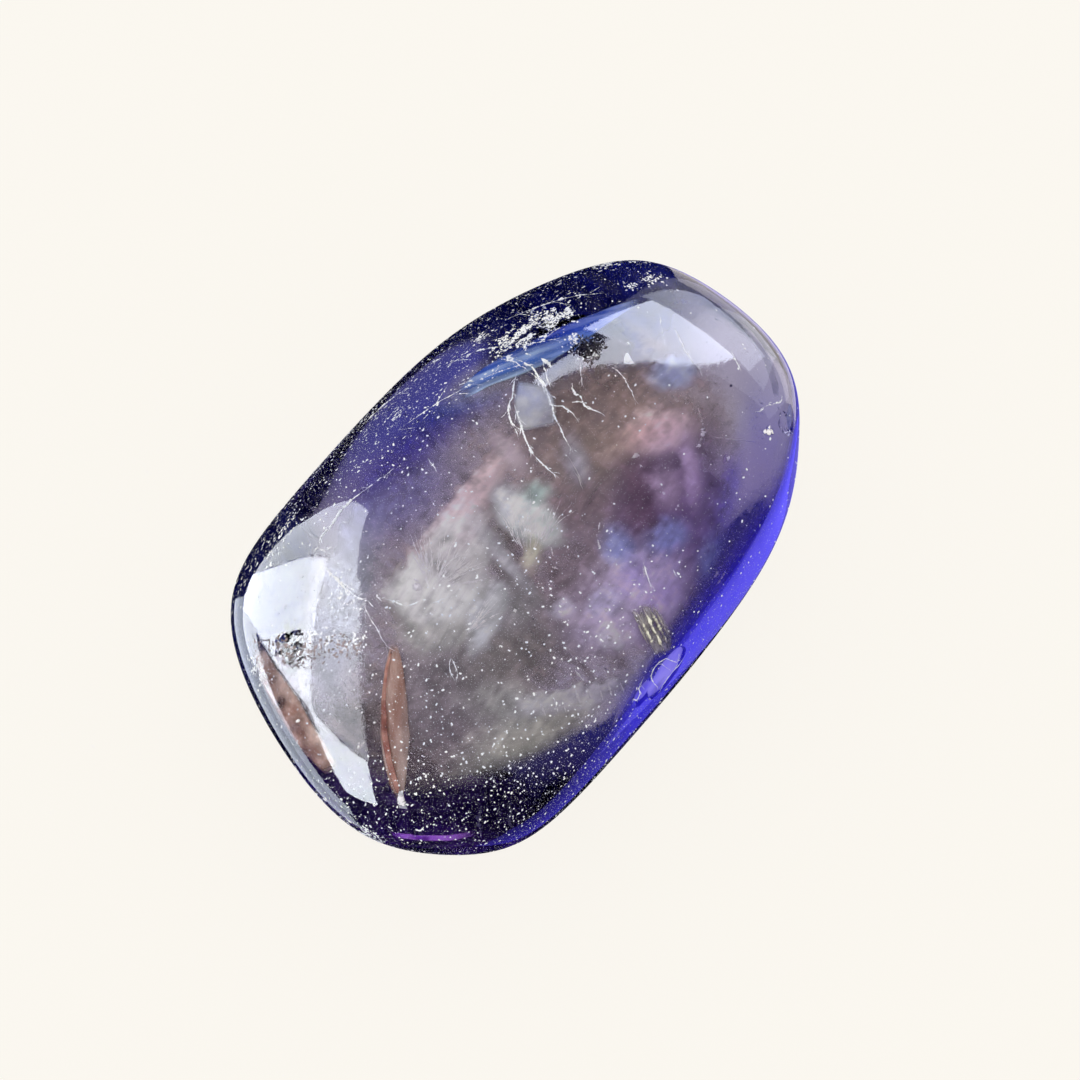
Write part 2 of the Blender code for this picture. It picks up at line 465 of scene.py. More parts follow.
def mineralMaterial(name, dark, pale, scale, roughness=0.5, stretch=(1.0, 1.0, 1.0), turn=(0.0, 0.0, 0.0),
                    fade=None, clearness=(0.35, 0.75)):
    # a mottled mineral or stain, and where fade names an attribute it thins out to nothing with it
    material = bpy.data.materials.new(name)
    tree = nodeTree(material)
    out = addNode(tree, "ShaderNodeOutputMaterial", (700, 0))
    grain = addNode(tree, "ShaderNodeBsdfPrincipled", (400, 0))
    speckle = noiseNode(tree, scale, 5.0, (-300, 0), stretch, turn)
    colour = rampNode(tree, [(0.32, dark), (0.66, pale)], (-50, 100))
    link(tree, speckle.outputs["Fac"], colour.inputs["Fac"])
    link(tree, colour.outputs["Color"], grain.inputs["Base Color"])
    gloss = rangeNode(tree, speckle.outputs["Fac"], 0.3, 0.7, roughness * 0.7, min(1.0, roughness * 1.3), (0, -150))
    link(tree, gloss.outputs["Result"], grain.inputs["Roughness"])
    bump = addNode(tree, "ShaderNodeBump", (150, -350))
    bump.inputs["Strength"].default_value = mineralBump["strength"]
    bump.inputs["Distance"].default_value = mineralBump["height"]
    link(tree, speckle.outputs["Fac"], bump.inputs["Height"])
    link(tree, bump.outputs["Normal"], grain.inputs["Normal"])
    if fade:
        thin = addNode(tree, "ShaderNodeMath", (150, -600), operation="MULTIPLY")
        wisps = noiseNode(tree, scale * 0.6, 6.0, (-300, -600), stretch, turn)
        torn = rangeNode(tree, wisps.outputs["Fac"], *clearness, 0.0, 1.0, (-50, -550))
        link(tree, attributeNode(tree, fade, (-50, -750)).outputs["Fac"], thin.inputs[0])
        link(tree, torn.outputs["Result"], thin.inputs[1])
        link(tree, thin.outputs["Value"], grain.inputs["Alpha"])
    link(tree, grain.outputs["BSDF"], out.inputs["Surface"])
    return material


def geometryTree(name, inputs):
    tree = bpy.data.node_groups.new(name, "GeometryNodeTree")
    tree.interface.new_socket("Geometry", in_out="INPUT", socket_type="NodeSocketGeometry")
    for label, kind, value in inputs:
        socket = tree.interface.new_socket(label, in_out="INPUT", socket_type="NodeSocket" + kind)
        if value is not None:
            socket.default_value = value
    tree.interface.new_socket("Geometry", in_out="OUTPUT", socket_type="NodeSocketGeometry")
    return tree, addNode(tree, "NodeGroupInput", (-1200, 0)).outputs, addNode(tree, "NodeGroupOutput", (1200, 0))


def mathNode(tree, operation, first, second, place=(0, 0)):
    node = addNode(tree, "ShaderNodeMath", place, operation=operation)
    for socket, value in zip(node.inputs, (first, second)):
        if isinstance(value, (int, float)):
            socket.default_value = value
        else:
            link(tree, value, socket)
    return node.outputs["Value"]


def randomNode(tree, low, high, seed, place=(0, 0)):
    node = addNode(tree, "FunctionNodeRandomValue", place, data_type="FLOAT")
    node.inputs[2].default_value = low  # the decimal pair of its sockets
    if isinstance(high, (int, float)):
        node.inputs[3].default_value = high
    else:
        link(tree, high, node.inputs[3])
    link(tree, seed, node.inputs["Seed"])
    return node.outputs[1]


def spreadByAmount(tree, give):
    amount = addNode(tree, "GeometryNodeInputNamedAttribute", (-1000, -200), data_type="FLOAT")
    amount.inputs["Name"].default_value = "amount"
    density = mathNode(tree, "MULTIPLY", give["Density"], amount.outputs["Attribute"], (-850, -200))
    spread = addNode(tree, "GeometryNodeDistributePointsOnFaces", (-700, 0), distribute_method="RANDOM")
    link(tree, give["Geometry"], spread.inputs["Mesh"])
    link(tree, density, spread.inputs["Density"])
    link(tree, give["Seed"], spread.inputs["Seed"])
    return spread


def sizeBetween(tree, give, share, place=(0, 0)):
    span = mathNode(tree, "SUBTRACT", give["Largest"], give["Smallest"])
    return mathNode(tree, "ADD", give["Smallest"], mathNode(tree, "MULTIPLY", share, span), place)


def finishTree(tree, made, give, last, x):
    # made real and painted, so that what comes out is one mesh
    real = addNode(tree, "GeometryNodeRealizeInstances", (x, 0))
    paint = addNode(tree, "GeometryNodeSetMaterial", (x + 250, 0))
    link(tree, made, real.inputs["Geometry"])
    link(tree, real.outputs["Geometry"], paint.inputs["Geometry"])
    link(tree, give["Material"], paint.inputs["Material"])
    link(tree, paint.outputs["Geometry"], last.inputs["Geometry"])
    return tree


def flakeTree():
    # ragged flakes scattered over a skin as thickly as its amount attribute says, flat on it
    tree, give, last = geometryTree("flakesOnSkin", [
        ("Density", "Float", 1.0), ("Seed", "Int", 1), ("Smallest", "Float", 0.00001), ("Largest", "Float", 0.00005),
        ("Rarity", "Float", 3.0), ("Stretch", "Float", 1.5), ("Thickness", "Float", 0.5),
        ("Along", "Vector", (1.0, 0.0, 0.0)),
        ("Aligned", "Float", 0.0), ("Spin", "Float", 3.1), ("Clump", "Float", 0.0), ("Material", "Material", None)])
    spread = spreadByAmount(tree, give)
    rare = mathNode(tree, "POWER", randomNode(tree, 0.0, 1.0, give["Seed"], (-700, -300)), give["Rarity"],
        (-500, -300))
    size = sizeBetween(tree, give, rare, (-300, -300))
    stretchSeed = mathNode(tree, "ADD", give["Seed"], 7.0)
    length = mathNode(tree, "MULTIPLY", size, randomNode(tree, 1.0, give["Stretch"], stretchSeed, (-500, -450)))
    scale = addNode(tree, "ShaderNodeCombineXYZ", (-100, -300))
    link(tree, length, scale.inputs["X"])
    link(tree, size, scale.inputs["Y"])
    link(tree, mathNode(tree, "MULTIPLY", size, give["Thickness"]), scale.inputs["Z"])
    lay = addNode(tree, "FunctionNodeAlignRotationToVector", (-400, 200), axis="X", pivot_axis="Z")
    link(tree, spread.outputs["Rotation"], lay.inputs["Rotation"])
    link(tree, give["Aligned"], lay.inputs["Factor"])
    link(tree, give["Along"], lay.inputs["Vector"])
    swing = addNode(tree, "ShaderNodeCombineXYZ", (-400, 350))
    swingSeed = mathNode(tree, "ADD", give["Seed"], 13.0)
    eitherWay = mathNode(tree, "SUBTRACT", randomNode(tree, 0.0, 1.0, swingSeed), 0.5)
    link(tree, mathNode(tree, "MULTIPLY", give["Spin"], eitherWay), swing.inputs["Z"])
    turn = addNode(tree, "FunctionNodeEulerToRotation", (-250, 350))
    link(tree, swing.outputs["Vector"], turn.inputs["Euler"])
    lie = addNode(tree, "FunctionNodeRotateRotation", (-200, 200), rotation_space="LOCAL")
    link(tree, lay.outputs["Rotation"], lie.inputs["Rotation"])
    link(tree, turn.outputs["Rotation"], lie.inputs["Rotate By"])
    ball = addNode(tree, "GeometryNodeMeshIcoSphere", (-400, 500))
    ball.inputs["Radius"].default_value = 1.0
    ball.inputs["Subdivisions"].default_value = 1
    ragged = addNode(tree, "GeometryNodeSetPosition", (-100, 500))
    rough = addNode(tree, "ShaderNodeTexNoise", (-400, 700), noise_dimensions="3D")
    rough.inputs["Scale"].default_value = 1.3
    shift = addNode(tree, "ShaderNodeVectorMath", (-200, 700), operation="MULTIPLY_ADD")
    shift.inputs[1].default_value = (1.5, 1.5, 1.0)
    shift.inputs[2].default_value = (-0.75, -0.75, -0.5)
    link(tree, rough.outputs["Color"], shift.inputs[0])
    link(tree, ball.outputs["Mesh"], ragged.inputs["Geometry"])
    link(tree, shift.outputs["Vector"], ragged.inputs["Offset"])
    where = addNode(tree, "GeometryNodeInputPosition", (-700, 900))
    drawn = addNode(tree, "ShaderNodeVectorMath", (-500, 900), operation="MULTIPLY")
    drawn.inputs[1].default_value = (1300.0, 3600.0, 2400.0)  # clumps drawn out along the stone
    ragbag = addNode(tree, "ShaderNodeTexNoise", (-300, 900), noise_dimensions="3D")
    ragbag.inputs["Scale"].default_value = 1.0
    ragbag.inputs["Detail"].default_value = 3.0
    link(tree, where.outputs["Position"], drawn.inputs[0])
    link(tree, drawn.outputs["Vector"], ragbag.inputs["Vector"])
    put = addNode(tree, "GeometryNodeInstanceOnPoints", (200, 0))
    link(tree, mathNode(tree, "GREATER_THAN", ragbag.outputs["Fac"], give["Clump"]), put.inputs["Selection"])
    link(tree, spread.outputs["Points"], put.inputs["Points"])
    link(tree, ragged.outputs["Geometry"], put.inputs["Instance"])
    link(tree, lie.outputs["Rotation"], put.inputs["Rotation"])
    link(tree, scale.outputs["Vector"], put.inputs["Scale"])
    return finishTree(tree, put.outputs["Instances"], give, last, 450)


def fleckTree():
    # tiny tumbled splinters through the thickness of a cloud, as many as the amount attribute says
    tree, give, last = geometryTree("flecksInside", [
        ("Density", "Float", 1.0), ("Seed", "Int", 1), ("Smallest", "Float", 0.00001), ("Largest", "Float", 0.00004),
        ("Depth", "Float", 0.0005), ("Material", "Material", None)])
    spread = spreadByAmount(tree, give)
    drift = addNode(tree, "ShaderNodeVectorMath", (-500, 200), operation="SCALE")
    link(tree, spread.outputs["Normal"], drift.inputs["Vector"])
    eitherWay = mathNode(tree, "SUBTRACT", randomNode(tree, 0.0, 1.0, give["Seed"]), 0.5)
    link(tree, mathNode(tree, "MULTIPLY", give["Depth"], eitherWay), drift.inputs["Scale"])
    move = addNode(tree, "GeometryNodeSetPosition", (-300, 0))
    link(tree, spread.outputs["Points"], move.inputs["Geometry"])
    link(tree, drift.outputs["Vector"], move.inputs["Offset"])
    tumble = addNode(tree, "FunctionNodeRandomValue", (-300, -200), data_type="FLOAT_VECTOR")
    tumble.inputs["Max"].default_value = (6.283, 6.283, 6.283)
    link(tree, give["Seed"], tumble.inputs["Seed"])
    turn = addNode(tree, "FunctionNodeEulerToRotation", (-100, -200))
    link(tree, tumble.outputs["Value"], turn.inputs["Euler"])
    size = sizeBetween(tree, give, randomNode(tree, 0.0, 1.0, mathNode(tree, "ADD", give["Seed"], 5.0)))
    splinter = addNode(tree, "GeometryNodeMeshCone", (-300, 400), fill_type="TRIANGLE_FAN")
    splinter.inputs["Vertices"].default_value = 3
    splinter.inputs["Radius Top"].default_value = 0.0
    splinter.inputs["Radius Bottom"].default_value = 1.0
    splinter.inputs["Depth"].default_value = 0.7
    put = addNode(tree, "GeometryNodeInstanceOnPoints", (200, 0))
    link(tree, move.outputs["Geometry"], put.inputs["Points"])
    link(tree, splinter.outputs["Mesh"], put.inputs["Instance"])
    link(tree, turn.outputs["Rotation"], put.inputs["Rotation"])
    link(tree, size, put.inputs["Scale"])
    return finishTree(tree, put.outputs["Instances"], give, last, 450)


def threadTree():
    # a fine ragged thread along each line, as thick as the width attribute says
    tree, give, last = geometryTree("threadsOnLines", [("Sides", "Int", 5), ("Material", "Material", None)])
    width = addNode(tree, "GeometryNodeInputNamedAttribute", (-600, -200), data_type="FLOAT")
    width.inputs["Name"].default_value = "width"
    line = addNode(tree, "GeometryNodeMeshToCurve", (-600, 0))
    ring = addNode(tree, "GeometryNodeCurvePrimitiveCircle", (-600, 300))
    ring.inputs["Radius"].default_value = 1.0
    skin = addNode(tree, "GeometryNodeCurveToMesh", (-200, 0))
    skin.inputs["Fill Caps"].default_value = True
    link(tree, give["Geometry"], line.inputs["Mesh"])
    link(tree, give["Sides"], ring.inputs["Resolution"])
    link(tree, line.outputs["Curve"], skin.inputs["Curve"])
    link(tree, ring.outputs["Curve"], skin.inputs["Profile Curve"])
    link(tree, width.outputs["Attribute"], skin.inputs["Scale"])
    return finishTree(tree, skin.outputs["Mesh"], give, last, 100)


def grow(name, source, tree, **settings):
    piece = addObject(name, source)
    modifier = piece.modifiers.new(tree.name, "NODES")
    modifier.node_group = tree
    for item in tree.interface.items_tree:
        if item.item_type == "SOCKET" and item.in_out == "INPUT" and item.name in settings:
            modifier[item.identifier] = settings[item.name]
    grown = finishedMesh(piece)
    piece.modifiers.clear()
    piece.data = grown
    rideStone(piece)
    print(name, "grown,", len(grown.polygons), "faces")


flakesOnSkin, flecksInside, threadsOnLines = flakeTree(), fleckTree(), threadTree()

# white scuffed patches where the bevel was scraped; flakes per square mm at their thickest
frost = {
    "most": 420.0, "smallest": 0.008, "largest": 0.055, "clump": 0.5,  # mm
    "patches": {
        "scrape": (532, 330, 36, 10, 28, 420), "scrapeTop": (565, 313, 10, 8, 0, 420),
        "scrapeLow": (512, 337, 14, 6, 20, 380),
        "endScrape": (643, 281, 15, 4, 16, 420), "endFleck": (662, 281, 5, 3, 10, 300),
        "topEdge": (604, 264, 34, 2.5, 2, 240),
        "endMilk": (346, 602, 14, 16, 30, 130), "endMilkLow": (330, 640, 30, 7, -6, 200),
        "flat": (402, 358, 9, 3, 40, 320), "flatLow": (394, 416, 11, 3, 40, 260),
        "mid": (482, 336, 10, 3, 35, 300), "edge": (480, 353, 16, 2, 12, 380),
        "pitRim": (576, 340, 7, 4, -30, 420), "pitFloor": (589, 354, 9, 4, 0, 260),
        "tailScrape": (366, 832, 20, 4, -32, 300), "rimScrape": (260, 672, 14, 6, -60, 380),
        "leftEdge": (280, 540, 30, 5, 58, 160), "throat": (506, 357, 12, 3, -12, 420),
    },
}
px, py, facing = pebbleAttributes(pebble.data)
pebble.data.materials.clear()
pebble.data.materials.append(ioliteMaterial())
rideStone(pebble)
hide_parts("iolite_pebble")
print("pebble finished")


def skinSource(name, amounts):
    source = pebble.data.copy()
    source.name = name
    floatAttribute(source, "amount", amounts)
    return source


# pale residue paint, also the paint of the painted glints among the films
residueAndGlintPaint = mineralMaterial("polishResidue", (0.76, 0.80, 0.92), (0.96, 0.97, 1.0), 900.0, 0.55)
perSquare = 1e6  # per square mm, in Blender's per square metre

# pale polish dust left in pin pricks of the skin, thickest round the tail; specks per square mm
dust = {
    "everywhere": 2.8, "smallest": 0.006, "largest": 0.052,  # mm
    "patches": {
        "tail": (440, 786, 140, 58, 10, 36), "tailSide": (424, 712, 56, 74, 0, 24),
        "shoulder": (356, 470, 90, 60, 42, 15),
        "bevel": (470, 366, 220, 44, 35, 7), "leftEnd": (318, 630, 62, 100, 0, 14),
        "middle": (530, 620, 130, 110, 0, 13),
        "dome": (545, 735, 80, 40, 15, 20), "pit": (583, 346, 15, 12, 0, 50),
    },
}
grow("polishDust", skinSource("dustSkin", dust["everywhere"] + facing * spotSum(px, py, dust["patches"])),
    flakesOnSkin,
     Density=perSquare, Seed=11, Smallest=dust["smallest"] * mm, Largest=dust["largest"] * mm,
     Rarity=4.6, Stretch=1.9, Thickness=0.5, Material=residueAndGlintPaint)

# the finest salt of it all over; specks per square mm
salt = {
    "density": 46.0, "smallest": 0.008, "largest": 0.019, "depth": 0.004,  # mm
    "patches": {
        "crown": (540, 560, 200, 210, 0, 0.85), "low": (490, 680, 130, 110, 10, 1.7),
        "tail": (450, 790, 130, 60, 10, 2.4), "bevel": (480, 380, 220, 56, 35, 1.2),
        "end": (320, 620, 80, 120, 0, 1.6), "shoulder": (380, 470, 90, 60, 42, 1.5),
    },
}
grow("saltDust", skinSource("saltSkin", facing * spotSum(px, py, salt["patches"])), flecksInside,
     Density=salt["density"] * perSquare, Seed=17, Smallest=salt["smallest"] * mm, Largest=salt["largest"] * mm,
     Depth=salt["depth"] * mm, Material=residueAndGlintPaint)

# short dashes that run with the bevel
dashes = {
    "smallest": 0.010, "largest": 0.026, "stretch": 6.0, "along": (0.98, -0.20, 0.0),
    "patches": {"bevel": (470, 362, 215, 34, 35, 3.0), "leftRim": (262, 560, 60, 12, 62, 12),
        "tailRim": (330, 800, 60, 14, -50, 5)},
}
grow("bevelDashes", skinSource("dashSkin", facing * spotSum(px, py, dashes["patches"])), flakesOnSkin,
     Density=perSquare, Seed=23, Smallest=dashes["smallest"] * mm, Largest=dashes["largest"] * mm,
     Rarity=2.0, Stretch=dashes["stretch"], Thickness=0.5, Along=dashes["along"], Aligned=1.0, Spin=0.5,
     Material=residueAndGlintPaint)

grow("frostedScrapes", skinSource("frostSkin", facing * spotSum(px, py, frost["patches"])), flakesOnSkin,
     Density=perSquare, Seed=31, Smallest=frost["smallest"] * mm, Largest=frost["largest"] * mm,
     Rarity=2.4, Stretch=2.2, Thickness=0.25, Along=dashes["along"], Aligned=1.0, Spin=2.4, Clump=frost["clump"],
     Material=residueAndGlintPaint)

# black crumbs that darken the crown pit and brown ones where the left end is broken; sizes in mm, crumbs per square
# mm
crumbs = {
    "blackCrumbSize": (0.012, 0.06), "brownSize": (0.015, 0.07),
    "blackCrumbs": {"pit": (591, 345, 10, 6, -20, 200), "pitTail": (582, 340, 7, 3, 40, 120)},
    "brown": {
        "break": (304, 650, 40, 7, -8, 60), "breakLow": (291, 659, 15, 5, -25, 90),
        "breakEnd": (340, 644, 20, 8, 0, 60),
    },
}
blackCrumbPaint = mineralMaterial("pitSoot", (0.004, 0.004, 0.008), (0.05, 0.045, 0.07), 1500.0, 0.45)
breakPaint = mineralMaterial("breakBrown", (0.06, 0.04, 0.045), (0.30, 0.22, 0.22), 1200.0, 0.5)
grow("pitCrumbs", skinSource("crumbSkin", facing * spotSum(px, py, crumbs["blackCrumbs"])), flakesOnSkin,
     Density=perSquare, Seed=41, Smallest=crumbs["blackCrumbSize"][0] * mm, Largest=crumbs["blackCrumbSize"][1] * mm,
     Rarity=1.6, Stretch=1.8, Thickness=0.6, Material=blackCrumbPaint)
grow("breakCrumbs", skinSource("breakSkin", facing * spotSum(px, py, crumbs["brown"])), flakesOnSkin,
     Density=perSquare, Seed=43, Smallest=crumbs["brownSize"][0] * mm, Largest=crumbs["brownSize"][1] * mm,
     Rarity=1.8, Stretch=2.4, Thickness=0.4, Material=breakPaint)


def smoothedSpots(spots, rounds=2):
    spots = [Vector(spot) for spot in spots]
    for _ in range(rounds):  # corners cut, ends kept
        cut = [spots[0]]
        for a, b in zip(spots, spots[1:]):
            cut += [a.lerp(b, 0.25), a.lerp(b, 0.75)]
        spots = cut + [spots[-1]]
    return spots


beadSwells = ((1.3, 3600.0), (1.2, 11000.0), (1.0, 32000.0))  # how much each adds, and its pitch per metre


def threadMesh(name, lines, step=0.032):
    # each line: depth under the skin, width and wander in mm, how beaded it is, then spots of the picture
    bm = bmesh.new()
    width = bm.verts.layers.float.new("width")
    for number, (depth, thick, wander, beaded, spots) in enumerate(lines):
        path = [insideAt(x, y, depth) if depth else skinAt(x, y)[0] for x, y in smoothedSpots(spots)]
        reach = np.cumsum([0.0] + [(b - a).length for a, b in zip(path, path[1:])])
        count = max(4, int(reach[-1] / (step * mm)))
        along = np.linspace(0.0, reach[-1], count)
        rows = np.stack([np.interp(along, reach, [p[axis] for p in path]) for axis in range(3)], axis=1)
        for i, row in enumerate(rows):
            place = Vector(row) * 1000.0
            sway = noise.noise_vector(place * 2.2 + Vector((number * 9.1, 0, 0)))
            sway += noise.noise_vector(place * 8.0) * 0.5
            rows[i] = row + np.array(sway) * wander * mm * min(1.0, 4.0 * min(i, count - 1 - i) / count)
        if not depth:
            rows = toFrame(skinPoints(unit(fromFrame(rows))))
        last = None
        for i, row in enumerate(rows):
            point = bm.verts.new(row)
            t = i / (count - 1)
            taper = min(1.0, 0.12 + 3.2 * min(t, 1.0 - t))
            bead = 1.0 + beaded * sum(share * noise.noise(Vector(row) * pitch) for share, pitch in beadSwells)
            point[width] = max(0.1, taper * bead) * thick / 2 * mm
            if last:
                bm.edges.new((last, point))
            last = point
    return meshFrom(name, bm)


# cracks that reach the skin, their edges bruised white
cracks = {
    "throat": (0, 0.085, 0.05, 0.9,
        [(497, 356), (510, 357), (523, 362), (533, 368), (541, 380), (550, 398), (560, 430), (573, 452)]),
    "throatEdge": (0, 0.05, 0.06, 0.9, [(499, 358), (522, 365), (537, 377), (545, 392), (551, 404)]),
    "left": (0, 0.075, 0.05, 0.8, [(517, 372), (511, 398), (507, 412), (513, 425), (522, 431)]),
    "leftLow": (0, 0.085, 0.05, 0.8, [(514, 404), (521, 424), (526, 442), (535, 458), (548, 469), (559, 478)]),
    "leftLowEdge": (0, 0.045, 0.05, 0.8, [(507, 413), (515, 430), (519, 440)]),
    "blob": (0, 0.17, 0.03, 0.7, [(541, 358), (546, 362), (551, 366)]),
    "blobTail": (0, 0.06, 0.04, 0.8, [(543, 362), (546, 375), (551, 388)]),
    "branch": (0, 0.055, 0.04, 0.8, [(551, 405), (562, 406), (571, 411), (579, 422)]),
    "hook": (0, 0.085, 0.06, 1.0, [(572, 383), (573, 392), (581, 397), (584, 405), (592, 410), (603, 414)]),
    "hookFoot": (0, 0.05, 0.05, 1.0, [(572, 402), (579, 401), (586, 403)]),
    "pitLine": (0, 0.045, 0.03, 0.7, [(580, 362), (581, 374), (582, 386)]),
    "right": (0, 0.05, 0.04, 0.7, [(610, 366), (622, 374), (630, 388), (636, 402)]),
    "hairline": (0, 0.04, 0.03, 0.5, [(671, 322), (677, 333), (684, 350), (693, 362), (703, 373)]),
    "hairlineTwo": (0, 0.025, 0.03, 0.5, [(658, 310), (663, 330), (665, 352)]),
    "rim": (0, 0.05, 0.03, 0.6, [(731, 350), (737, 362), (741, 371)]),
    "leftEnd": (0, 0.13, 0.05, 0.9, [(362, 492), (344, 506), (337, 516), (331, 526), (322, 534), (318, 548)]),
    "leftCurve": (0, 0.12, 0.05, 1.0, [(322, 562), (330, 574), (342, 585), (353, 596), (368, 601)]),
    "leftCurveRight": (0, 0.10, 0.05, 1.0, [(376, 597), (388, 600), (400, 604), (414, 604), (422, 600)]),
    "leftFine": (0, 0.035, 0.04, 0.6, [(362, 602), (372, 622), (388, 648)]),
    "leftReach": (0, 0.05, 0.04, 1.0, [(394, 468), (378, 480), (362, 492)]),
    "leftHook": (0, 0.08, 0.05, 1.0, [(318, 548), (326, 552), (332, 546)]),
    "greyEnd": (0, 0.03, 0.03, 0.5, [(432, 603), (441, 600), (449, 596)]),
    "short": (0, 0.04, 0.04, 0.6, [(428, 458), (433, 466), (437, 472)]),
    "endJag": (0, 0.055, 0.07, 0.9, [(755, 412), (764, 409), (768, 405), (775, 403), (781, 402), (782, 396)]),
    "lensLeft": (0, 0.04, 0.01, 0.5, [(451, 658), (449, 664), (450, 672), (455, 681)]),
    "lensRight": (0, 0.04, 0.01, 0.5, [(451, 658), (455, 664), (458, 674), (456, 682)]),
    "chipLine": (0, 0.05, 0.01, 0.5, [(644, 677), (640, 685), (636, 694), (632, 703)]),
    "chipArc": (0, 0.045, 0.02, 0.5, [(651, 683), (651, 674), (655, 666), (664, 659), (676, 653)]),
    "chipArcTwo": (0, 0.03, 0.02, 0.5, [(655, 690), (656, 678), (662, 668), (674, 661), (684, 657)]),
    "strokeOne": (0, 0.05, 0.02, 0.5, [(643, 562), (647, 574), (651, 587)]),
    "strokeTwo": (0, 0.035, 0.02, 0.5, [(673, 569), (678, 578)]),
    # strings of pricks along the bevel
    "stringOne": (0, 0.05, 0.03, 1.9, [(398, 430), (430, 408), (466, 386), (500, 371), (530, 362)]),
    "stringTwo": (0, 0.045, 0.03, 1.9, [(446, 366), (470, 353), (493, 347), (520, 346), (560, 338)]),
    "stringThree": (0, 0.05, 0.03, 1.9, [(510, 318), (540, 306), (572, 296), (604, 293)]),
    "stringFour": (0, 0.045, 0.03, 1.9, [(360, 428), (384, 404), (410, 386)]),
    "bevelStroke": (0, 0.08, 0.02, 0.8, [(459, 385), (473, 380)]),
    "topStroke": (0, 0.09, 0.03, 0.9, [(432, 362), (442, 358)]),
}


def withHairs(lines, thinner=0.72):
    # each crack a little thinner, with fine hairs that leave it at a slant
    chance = np.random.default_rng(5)
    rows = []
    for depth, thick, wander, beaded, spots in lines:
        rows.append((depth, thick * thinner, wander * 1.3, beaded * 1.2, spots))
        for (x0, y0), (x1, y1) in zip(spots, spots[1:]):
            for side in (-1, 1):
                t, reach = chance.uniform(0.0, 1.0), chance.uniform(0.2, 0.55)
                x, y, dx, dy = x0 + (x1 - x0) * t, y0 + (y1 - y0) * t, (x1 - x0) * reach, (y1 - y0) * reach
                middle = (x + dx * 0.6 - dy * 0.3 * side, y + dy * 0.6 + dx * 0.3 * side)
                tip = (x + dx - dy * 0.5 * side, y + dy + dx * 0.5 * side)
                rows.append((depth, thick * chance.uniform(0.16, 0.34), wander, 1.3, [(x, y), middle, tip]))
    return rows


grow("skinCracks", threadMesh("crackLines", withHairs(cracks.values())), threadsOnLines,
     Sides=5, Material=residueAndGlintPaint)

# hairs and planes of the cracks below the skin
innerThreads = {
    "fineLine": (0.5, 0.035, 0.05, 0.6, [(706, 433), (716, 438), (730, 439), (745, 440), (761, 444)]),
    "greyHair": (0.6, 0.03, 0.05, 0.6, [(602, 434), (616, 433), (634, 434)]),
    "fibreOne": (0.5, 0.035, 0.04, 0.6, [(567, 455), (575, 468), (583, 485)]),
    "fibreTwo": (0.5, 0.03, 0.04, 0.6, [(573, 470), (579, 478), (583, 490)]),
    "veilEdge": (0.6, 0.035, 0.05, 0.6, [(492, 437), (508, 452), (520, 468), (527, 484), (534, 498)]),
    "wisp": (
        0.5, 0.12, 0.08, 1.3, [(698, 408), (702, 420), (703, 434), (698, 448), (692, 462), (691, 476), (689, 486)]),
    "wispTwo": (0.5, 0.08, 0.08, 1.3, [(702, 434), (705, 446), (700, 455)]),
    "pinkOne": (0.4, 0.10, 0.08, 1.4, [(641, 562), (645, 574), (649, 586), (655, 598)]),
    "pinkTwo": (0.4, 0.07, 0.1, 1.4, [(622, 590), (630, 584), (638, 580)]),
    "pinkThree": (0.4, 0.09, 0.1, 1.4, [(620, 600), (624, 612), (632, 622)]),
    "pinkFour": (0.5, 0.06, 0.1, 1.4, [(672, 520), (680, 506), (687, 492)]),
    "pinkFive": (0.5, 0.05, 0.1, 1.4, [(600, 520), (596, 540), (602, 556)]),
    "pinkSix": (0.5, 0.07, 0.1, 1.4, [(668, 470), (660, 486), (668, 500)]),
    "bottomOne": (0.3, 0.14, 0.1, 1.5, [(481, 806), (479, 822), (481, 838)]),
    "bottomTwo": (0.3, 0.12, 0.1, 1.5, [(512, 806), (510, 816), (513, 828)]),
    "bottomThree": (0.3, 0.12, 0.1, 1.5, [(572, 774), (577, 782), (579, 790)]),
    "streakFive": (0.16, 0.07, 0.03, 1.2, [(598, 683), (603, 700)]),
    "streakSix": (0.16, 0.09, 0.03, 1.2, [(608, 684), (612, 696)]),
    "streakSeven": (0.16, 0.06, 0.03, 1.2, [(620, 682), (624, 693)]),
    "streakEight": (0.16, 0.10, 0.03, 1.2, [(576, 690), (580, 704)]),
    "streakNine": (0.16, 0.07, 0.03, 1.2, [(540, 700), (546, 716)]),
    "streakTen": (0.16, 0.08, 0.03, 1.2, [(554, 698), (558, 712)]),
    "streakOne": (0.16, 0.07, 0.02, 1.2, [(562, 697), (566, 712)]),
    "streakTwo": (0.16, 0.09, 0.02, 1.2, [(586, 687), (591, 699)]),
    "streakThree": (0.16, 0.06, 0.02, 1.2, [(575, 670), (584, 681)]),
    "streakFour": (0.16, 0.07, 0.02, 1.2, [(548, 702), (552, 712)]),
}
